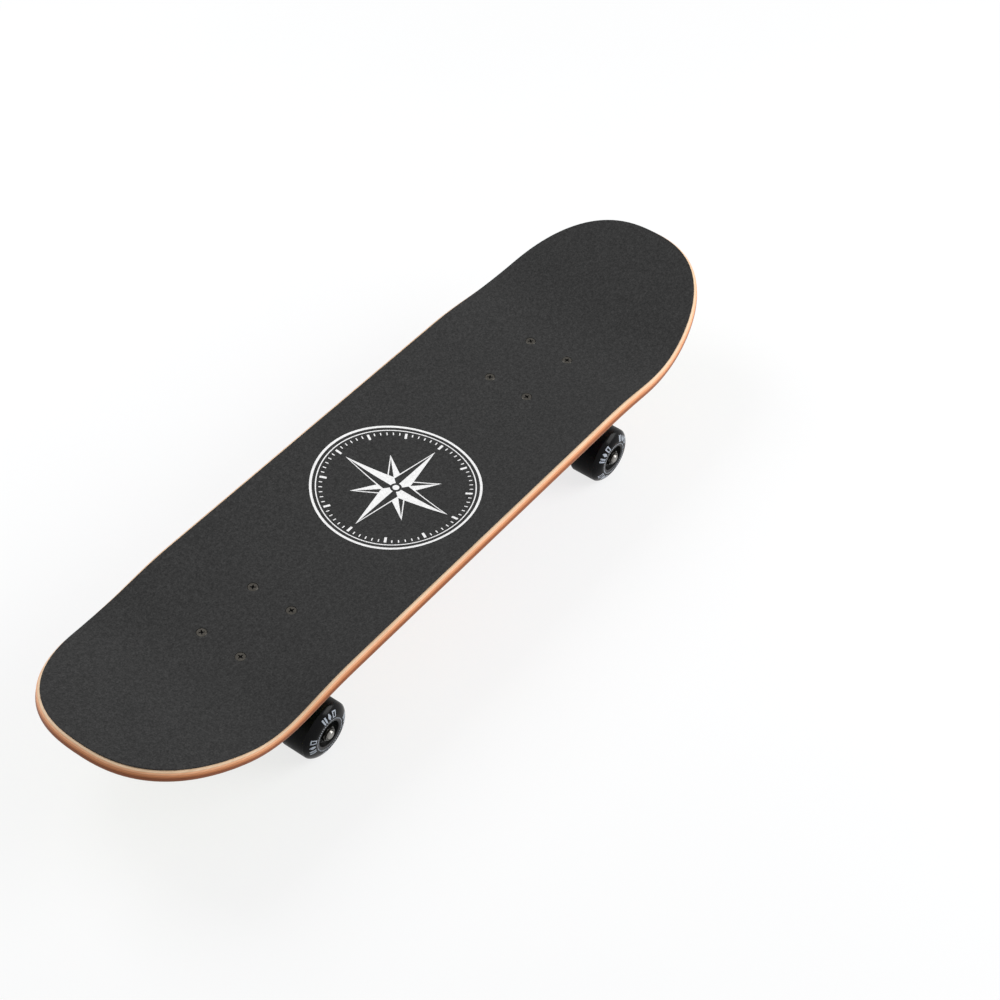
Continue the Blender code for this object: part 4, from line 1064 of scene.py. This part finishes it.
def casting(name, node_name, *steps):
    """A cast piece: the frame's solid after some cuts, its facets melted into soft fillets."""
    base = placed("shape", combined(frame["nodes"][node_name].data.copy(), *steps))
    modify(base, "REMESH", mode="VOXEL", voxel_size=CASTING_VOXEL)
    modify(base, "SMOOTH", factor=0.5, iterations=8)
    modify(base, "DECIMATE", ratio=0.45)
    mesh = applied(base)
    mesh.name = name
    mesh.materials.clear()
    mesh.materials.append(BLACK_METAL)
    mesh.shade_smooth()
    return mesh


def web_cut(axle_at, side):
    """A wedge that slopes the hanger's web down from its ring to the tube's end on one side."""
    inner, knee, outer, top, half_length = 0.019, 0.050, 0.075, 0.05, 0.05
    ring_height, tube_height = 0.0187, 0.0088
    outline = [(inner, ring_height), (knee, tube_height), (outer, tube_height)]
    outline += [(outer, top), (inner, top)]
    ends = (-side * half_length, side * half_length)
    points = [axle_at + Vector((x, side * y, z)) for x in ends for y, z in outline]
    near, far = list(range(5)), list(range(5, 10))
    faces = [face[::-1] for face in skin([near, far])]
    return build_mesh("web_cut", points, [near[::-1], far, *faces], [BLACK_METAL])


def washer_mesh(diameter):
    outer, hole = diameter / 2, KINGPIN_DIAMETER / 2 + SEAT_GAP
    rim = outer - WASHER_SHEET
    profile = [(hole, WASHER_SHEET), (rim - WASHER_SHEET, WASHER_SHEET), (rim, WASHER_HEIGHT)]
    profile += [(outer, WASHER_HEIGHT), (outer - WASHER_SHEET / 2, 0), (hole, 0)]
    return eased_ring("cup_washer", profile, 0.0006, DARK_STEEL, 72)


def add_bushing(end, side, height, far_diameter, washer_diameter, place):
    """A bushing: its wide end on the hanger's ring, its far end in a cup washer."""
    hole, seat = KINGPIN_DIAMETER / 2 + SEAT_GAP, BUSHING_DIAMETER / 2
    cup_floor = washer_diameter / 2 - 2 * WASHER_SHEET - SEAT_GAP
    far = min(far_diameter / 2 - BUSHING_ROUNDING, cup_floor)
    cup_rim = height - (WASHER_HEIGHT - WASHER_SHEET + SEAT_GAP)
    corners = [(hole, height), (far, height), (far, cup_rim)]
    corners += [(far_diameter / 2, cup_rim - BUSHING_ROUNDING), (seat, BUSHING_ROUNDING)]
    corners += [(seat - BUSHING_ROUNDING, 0), (hole, 0)]
    mesh = eased_ring(f"{side}_bushing", corners, 0.0010, PINK_URETHANE, 72)
    label = f"{end}_{side}_side_bushing"
    piece = placed(f"{label}_fine", mesh, place)
    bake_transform(piece)
    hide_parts(label)


def build_kingpins():
    """The kingpins with their nuts, cup washers and bushings."""
    radius, thread_end, head_height = KINGPIN_DIAMETER / 2, 0.022, 0.005
    in_head = KINGPIN_LENGTH - 0.004
    profile = [(0, in_head), (radius, in_head), (radius, thread_end)]
    profile += threads(radius, 0.0005, THREAD_PITCH, thread_end, 0.0012)
    profile += [(radius - 0.0006, 0.0006), (radius - 0.0014, 0), (0, 0)]
    shank = lathe("shank", profile, [BRIGHT_STEEL], 56)
    head = prism(KINGPIN_NUT[0], KINGPIN_LENGTH - head_height, KINGPIN_LENGTH, BRIGHT_STEEL)
    pin = joined("kingpin", BRIGHT_STEEL, shank, head)
    soften(pin)
    nut = lock_nut("kingpin_nut", *KINGPIN_NUT, KINGPIN_DIAMETER, DARK_STEEL)
    road_cup, board_cup = (washer_mesh(sizes[-1]) for sizes in (ROAD_BUSHING, BOARD_BUSHING))
    starts = [NUT_FROM_TIP + sum(KINGPIN_NUT[1:])]
    for height in (0, WASHER_SHEET, ROAD_BUSHING[0], RING_SEAT_THICKNESS, BOARD_BUSHING[0]):
        starts.append(starts[-1] + height + SEAT_GAP)
    nut_seat, road_washer, _, ring, board_bushing, board_washer = starts
    for end in ("front", "rear"):
        for part, mesh, slot, distance, flip in (
            ("kingpin", pin, "bright_steel", 0, 0),
            ("kingpin_nut", nut, "dark_steel", nut_seat, 0),
            ("road_side_washer", road_cup, "dark_steel", road_washer, 0),
            ("board_side_washer", board_cup, "dark_steel", board_washer + WASHER_SHEET, pi),
        ):
            add_fine(f"{end}_{part}", mesh, "board", slot, kingpin_frame(end, distance, flip))
        add_bushing(end, "road", *ROAD_BUSHING, kingpin_frame(end, ring - SEAT_GAP, pi))
        add_bushing(end, "board", *BOARD_BUSHING, kingpin_frame(end, board_bushing))


def build_castings():
    """The baseplates and hangers. The rear ones are the front ones, turned half round."""
    axle_at = Vector(joints["front_left_wheel_spin"]["pos_m"])
    axle_at.y = 0
    radius, half = AXLE_DIAMETER / 2 + 0.0012, 0.060
    filler = rod(radius, -half, half, BLACK_METAL, 32)
    filler.transform(Matrix.Translation(axle_at) @ Matrix.Rotation(pi / 2, 4, "X"))
    cuts = [("DIFFERENCE", web_cut(axle_at, side)) for side in (1, -1)]
    plate = casting("baseplate_casting", "front_baseplate")
    hanger = casting("hanger_casting", "front_hanger", ("UNION", filler), *cuts)
    to_rear = truck_frame("rear") @ truck_frame("front").inverted()
    for end, at in (("front", Matrix.Identity(4)), ("rear", to_rear)):
        parts = ("baseplate", plate, "board"), ("hanger", hanger, f"{end}_truck_hanger")
        for part, mesh, body in parts:
            label = f"{end}_{part}"
            add_piece(f"{label}_casting", mesh, body, "black_metal", [label], at)
        frame["nodes"][f"{end}_pivot_cup"].material_slots[0].material = CUP_PLASTIC


# Wheels


def mark_inked(level, column):
    """Whether a cell of the wheel's printed marks is inked: a frame, a diamond and two bars."""
    if column < 8:
        return level in (0, MARK_LEVELS - 1) or column in (0, 1, 6, 7)
    if 11 <= column < 19:
        return abs(column - 14.5) / 4 + abs(level - 2.5) / 3 < 1
    return 22 <= column < 25 or 27 <= column < 30


def press_dimples(mesh, at, count):
    """Presses round dimples into a wheel's inner side, at the (radius, height) of its profile."""
    radius, height = at
    size, depth = 0.0016, 0.0006
    moves = []
    for vertex in mesh.vertices:
        share = 2 * pi / count
        angle = round(atan2(vertex.co.y, vertex.co.x) / share) * share
        centre = Vector((radius * cos(angle), radius * sin(angle), -height))
        away = (vertex.co - centre).length / size
        if away < 1:
            moves.append((vertex, vertex.normal * depth * (1 - away**2) ** 2))
    for vertex, move in moves:
        vertex.co -= move


def wheel_mesh(turn):
    """A wheel about Z: plain printed marks round its +Z face, moulding dimples on the other.

    Each row of a side has the kind of the cells below it. A number is a level of the marks.
    """
    half, tread = WHEEL_WIDTH / 2, TREAD_WIDTH / 2
    rim, face = WHEEL_DIAMETER / 2, WHEEL_FACE_DIAMETER / 2
    hub, seat = HUB_OPENING_DIAMETER / 2, BEARING_DIAMETER / 2 + SEAT_GAP
    bearing_face = half - BEARING_INSET
    land = bearing_face - BEARING_WIDTH - SEAT_GAP
    side = [
        (seat - 0.0015, land, "core"), (seat, land, "core"),
        (seat, bearing_face + SEAT_GAP, "core"), (hub - 0.0006, bearing_face + 0.0012, "core"),
        (hub, half - 0.0008, "hub"), (hub + 0.0005, half - 0.0003, "hub"),
        (hub + 0.0010, half, "hub"), (hub + 0.0024, half, "ticks"),
        (hub + 0.0034, half, "side"), (face, half - 0.0001, "side"),
    ]
    for i in range(1, SHOULDER_STEPS):
        angle = pi / 2 * i / SHOULDER_STEPS
        across, down = (part ** (2 / WHEEL_SQUARENESS) for part in (sin(angle), cos(angle)))
        kind = i - 1 if i <= MARK_LEVELS else "side"
        side.append((face + (rim - face) * across, tread + (half - tread) * down, kind))
        if kind == DIMPLE_LEVEL:
            dimple_at = side[-1][:2]
    side += [(rim - 0.0001, tread + 0.0004, "side"), (rim, tread - 0.0004, "tread")]
    profile = [(radius, height) for radius, height, _ in side]
    profile += [(radius, -height) for radius, height in reversed(profile)]
    kinds = [kind for _, _, kind in side]
    plain = {"ticks": "hub", **{level: "side" for level in range(MARK_LEVELS)}}
    kinds += [plain.get(kind, kind) for kind in reversed(kinds[:-1])] + ["core"]
    numbers = {"tread": 0, "side": 1, "hub": 2, "ink": 3, "core": 4}
    materials = [TREAD, SIDEWALL, HUB_RING, WHITE_INK, SHIELD_RUBBER_AND_RECESS_SHADE]

    def paint(row, step):
        kind = kinds[row]
        marked = kind in range(MARK_LEVELS) and mark_inked(kind, step % 60)
        ticked = kind == "ticks" and step % 5 < 2
        return numbers["ink" if marked or ticked else plain.get(kind, kind)]

    mesh = lathe("wheel", profile, materials, 240, ring=True, paint=paint)
    press_dimples(mesh, dimple_at, 6)
    mesh.transform(Matrix.Rotation(turn, 4, "Z"))
    return mesh


def bearing_mesh():
    """A ball bearing about Z: two races and, on its +Z side, a shield between them."""
    half, inner, outer = BEARING_WIDTH / 2, AXLE_DIAMETER / 2 + SEAT_GAP, BEARING_DIAMETER / 2
    inner_race, outer_race = 0.00615, 0.00965
    shield = half - 0.0005
    edge, crown = half - 0.0003, shield + 0.0002
    profile = [(inner, edge), (inner + 0.0003, half), (inner_race, half), (inner_race, shield)]
    profile += [(inner_race + 0.0005, crown), (outer_race - 0.0006, crown)]
    profile += [(outer_race - 0.0003, shield - 0.0001), (outer_race, shield), (outer_race, half)]
    profile += [(outer - 0.0003, half), (outer, edge), (outer, -half), (inner, -half)]
    shield_rows = range(3, 7)
    materials = [BEARING_STEEL, SHIELD_RUBBER_AND_RECESS_SHADE]

    def paint(row, step):
        return 1 if row in shield_rows else 0

    return lathe("bearing", profile, materials, 72, ring=True, paint=paint)


def axle_mesh():
    radius, half, thread = AXLE_DIAMETER / 2, AXLE_LENGTH / 2, 0.016
    upper = [(0, half), (radius - 0.0008, half), (radius - 0.0002, half - 0.0006)]
    upper += threads(radius, 0.0004, THREAD_PITCH, half - 0.0008, half - thread)
    upper += [(radius, half - thread)]
    profile = upper + [(r, -z) for r, z in reversed(upper)]
    return lathe("axle", profile, [AXLE_STEEL], 56)


def facing(at, way):
    """The frame at a point, with Z towards the +Y side of the board or its -Y side."""
    return Matrix.Translation(at) @ Matrix.Rotation(-way * pi / 2, 4, "X")


def build_wheels():
    """The wheels with their bearings, and the axles with their nuts and washers."""
    bearing, axle = bearing_mesh(), axle_mesh()
    nut = lock_nut("axle_nut", *AXLE_NUT, AXLE_DIAMETER, DARK_STEEL)
    nut.transform(Matrix.Rotation(radians(17), 4, "Z"))
    thin = SPEED_WASHER_THICKNESS / 2
    inner, outer = AXLE_DIAMETER / 2 + SEAT_GAP, SPEED_WASHER_DIAMETER / 2
    ring = [(inner, thin), (outer, thin), (outer, -thin), (inner, -thin)]
    washer = eased_ring("washer", ring, 0.0002, BRIGHT_STEEL, 56)
    for end, turn in (("front", 23), ("rear", 64)):
        hanger, label = f"{end}_truck_hanger", f"{end}_axle"
        add_fine(label, axle, hanger, "bright_steel", facing(middle(label), 1))
        wheel = wheel_mesh(radians(turn))
        for hand, side in (("left", 1), ("right", -1)):
            set_name = f"{end}_{hand}_wheel_set"
            for part, mesh, body, slot, way in (
                ("wheel", wheel, set_name, "black_urethane", side),
                ("outer_bearing", bearing, set_name, "bearing_steel", side),
                ("inner_bearing", bearing, set_name, "bearing_steel", -side),
                ("speed_washer", washer, hanger, "bright_steel", side),
                ("axle_nut", nut, hanger, "bright_steel", -side),
            ):
                label = f"{end}_{hand}_{part}"
                at = middle(label)
                if part == "wheel":
                    at = joints[f"{label}_spin"]["pos_m"]
                if part == "axle_nut":
                    at.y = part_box(label)[0 if side == 1 else 1].y
                add_fine(label, mesh, body, slot, facing(at, way))


# Surroundings


def seen_rays(tree):
    """1 for the rays that see the background itself: camera, transmission and glossy ones."""
    rays = node(tree, "ShaderNodeLightPath").outputs
    seen = rays["Is Camera Ray"]
    for kind in ("Is Transmission Ray", "Is Glossy Ray"):
        either = node(tree, "ShaderNodeMath", {0: seen, 1: rays[kind]}, operation="MAXIMUM")
        seen = either.outputs["Value"]
    return seen


def build_floor():
    """A plain pale floor with a light shadow, which grows white away from the board."""
    made, tree, shader = new_material("pale_floor", 0.8)
    colour = between(noise(tree, 6, 2.0), (0.915, 0.930, 0.945), (0.930, 0.945, 0.960))
    set_inputs(shader, {"Base Color": colour})
    place = node(tree, "ShaderNodeTexCoord").outputs["Object"]
    away = node(tree, "ShaderNodeVectorMath", {0: place}, operation="LENGTH").outputs["Value"]
    fading = spread(away, FLOOR_GLOW, 1.0, WHITE_START, WHITE_END)
    share = node(tree, "ShaderNodeMath", {0: seen_rays(tree), 1: fading}, operation="MULTIPLY")
    glow = node(tree, "ShaderNodeEmission").outputs["Emission"]
    values = {"Fac": share.outputs["Value"], 1: shader.outputs["BSDF"], 2: glow}
    both = node(tree, "ShaderNodeMixShader", values).outputs["Shader"]
    set_inputs(tree.nodes["Material Output"], {"Surface": both})
    reach = 12.0
    corners = [(x * reach, y * reach, 0) for x, y in ((-1, -1), (1, -1), (1, 1), (-1, 1))]
    floor = placed("floor", build_mesh("floor", corners, [(0, 1, 2, 3)], [made]))


def build_world():
    """A background that is white to the camera and to reflections, and lights more softly."""
    world = bpy.data.worlds.new("studio")
    bpy.context.scene.world = world
    world.use_nodes = True
    tree = world.node_tree
    strength = spread(seen_rays(tree), WORLD_LIGHT, 1.0, 0.0, 1.0)
    set_inputs(tree.nodes["Background"], {"Color": (1, 1, 1, 1), "Strength": strength})


def add_softbox(name, at, size, power):
    """A large soft lamp that faces the board."""
    lamp = configured(bpy.data.lights.new(name, "AREA"), shape="RECTANGLE", energy=power)
    lamp.size, lamp.size_y = size
    aim = (Vector((0, 0, 0.08)) - Vector(at)).to_track_quat("-Z", "Y")
    placed(name, lamp, Matrix.Translation(at) @ aim.to_matrix().to_4x4())


def build_camera():
    lens = {"lens": CAMERA_LENS, "sensor_width": 36, "clip_start": 0.05}
    camera = configured(bpy.data.cameras.new("camera"), **lens)
    level = cos(CAMERA_ELEVATION)
    back = Vector((level * cos(CAMERA_AZIMUTH), level * sin(CAMERA_AZIMUTH), sin(CAMERA_ELEVATION)))
    at = Matrix.Translation(CAMERA_TARGET + back * CAMERA_DISTANCE)
    aim = (-back).to_track_quat("-Z", "Y").to_matrix().to_4x4()
    at = at @ aim @ Matrix.Rotation(CAMERA_ROLL, 4, "Z")
    bpy.context.scene.camera = placed("camera", camera, at)


build_deck()
build_grip()
build_print()
build_bolts()
build_kingpins()
build_castings()
build_wheels()
build_floor()
build_world()
add_softbox("key_softbox", (1.3, -1.4, 1.1), (1.6, 1.2), 38)
add_softbox("fill_softbox", (-0.1, 1.1, 1.3), (1.0, 1.0), 15)
build_camera()
bpy.context.scene.view_settings.view_transform = "Standard"
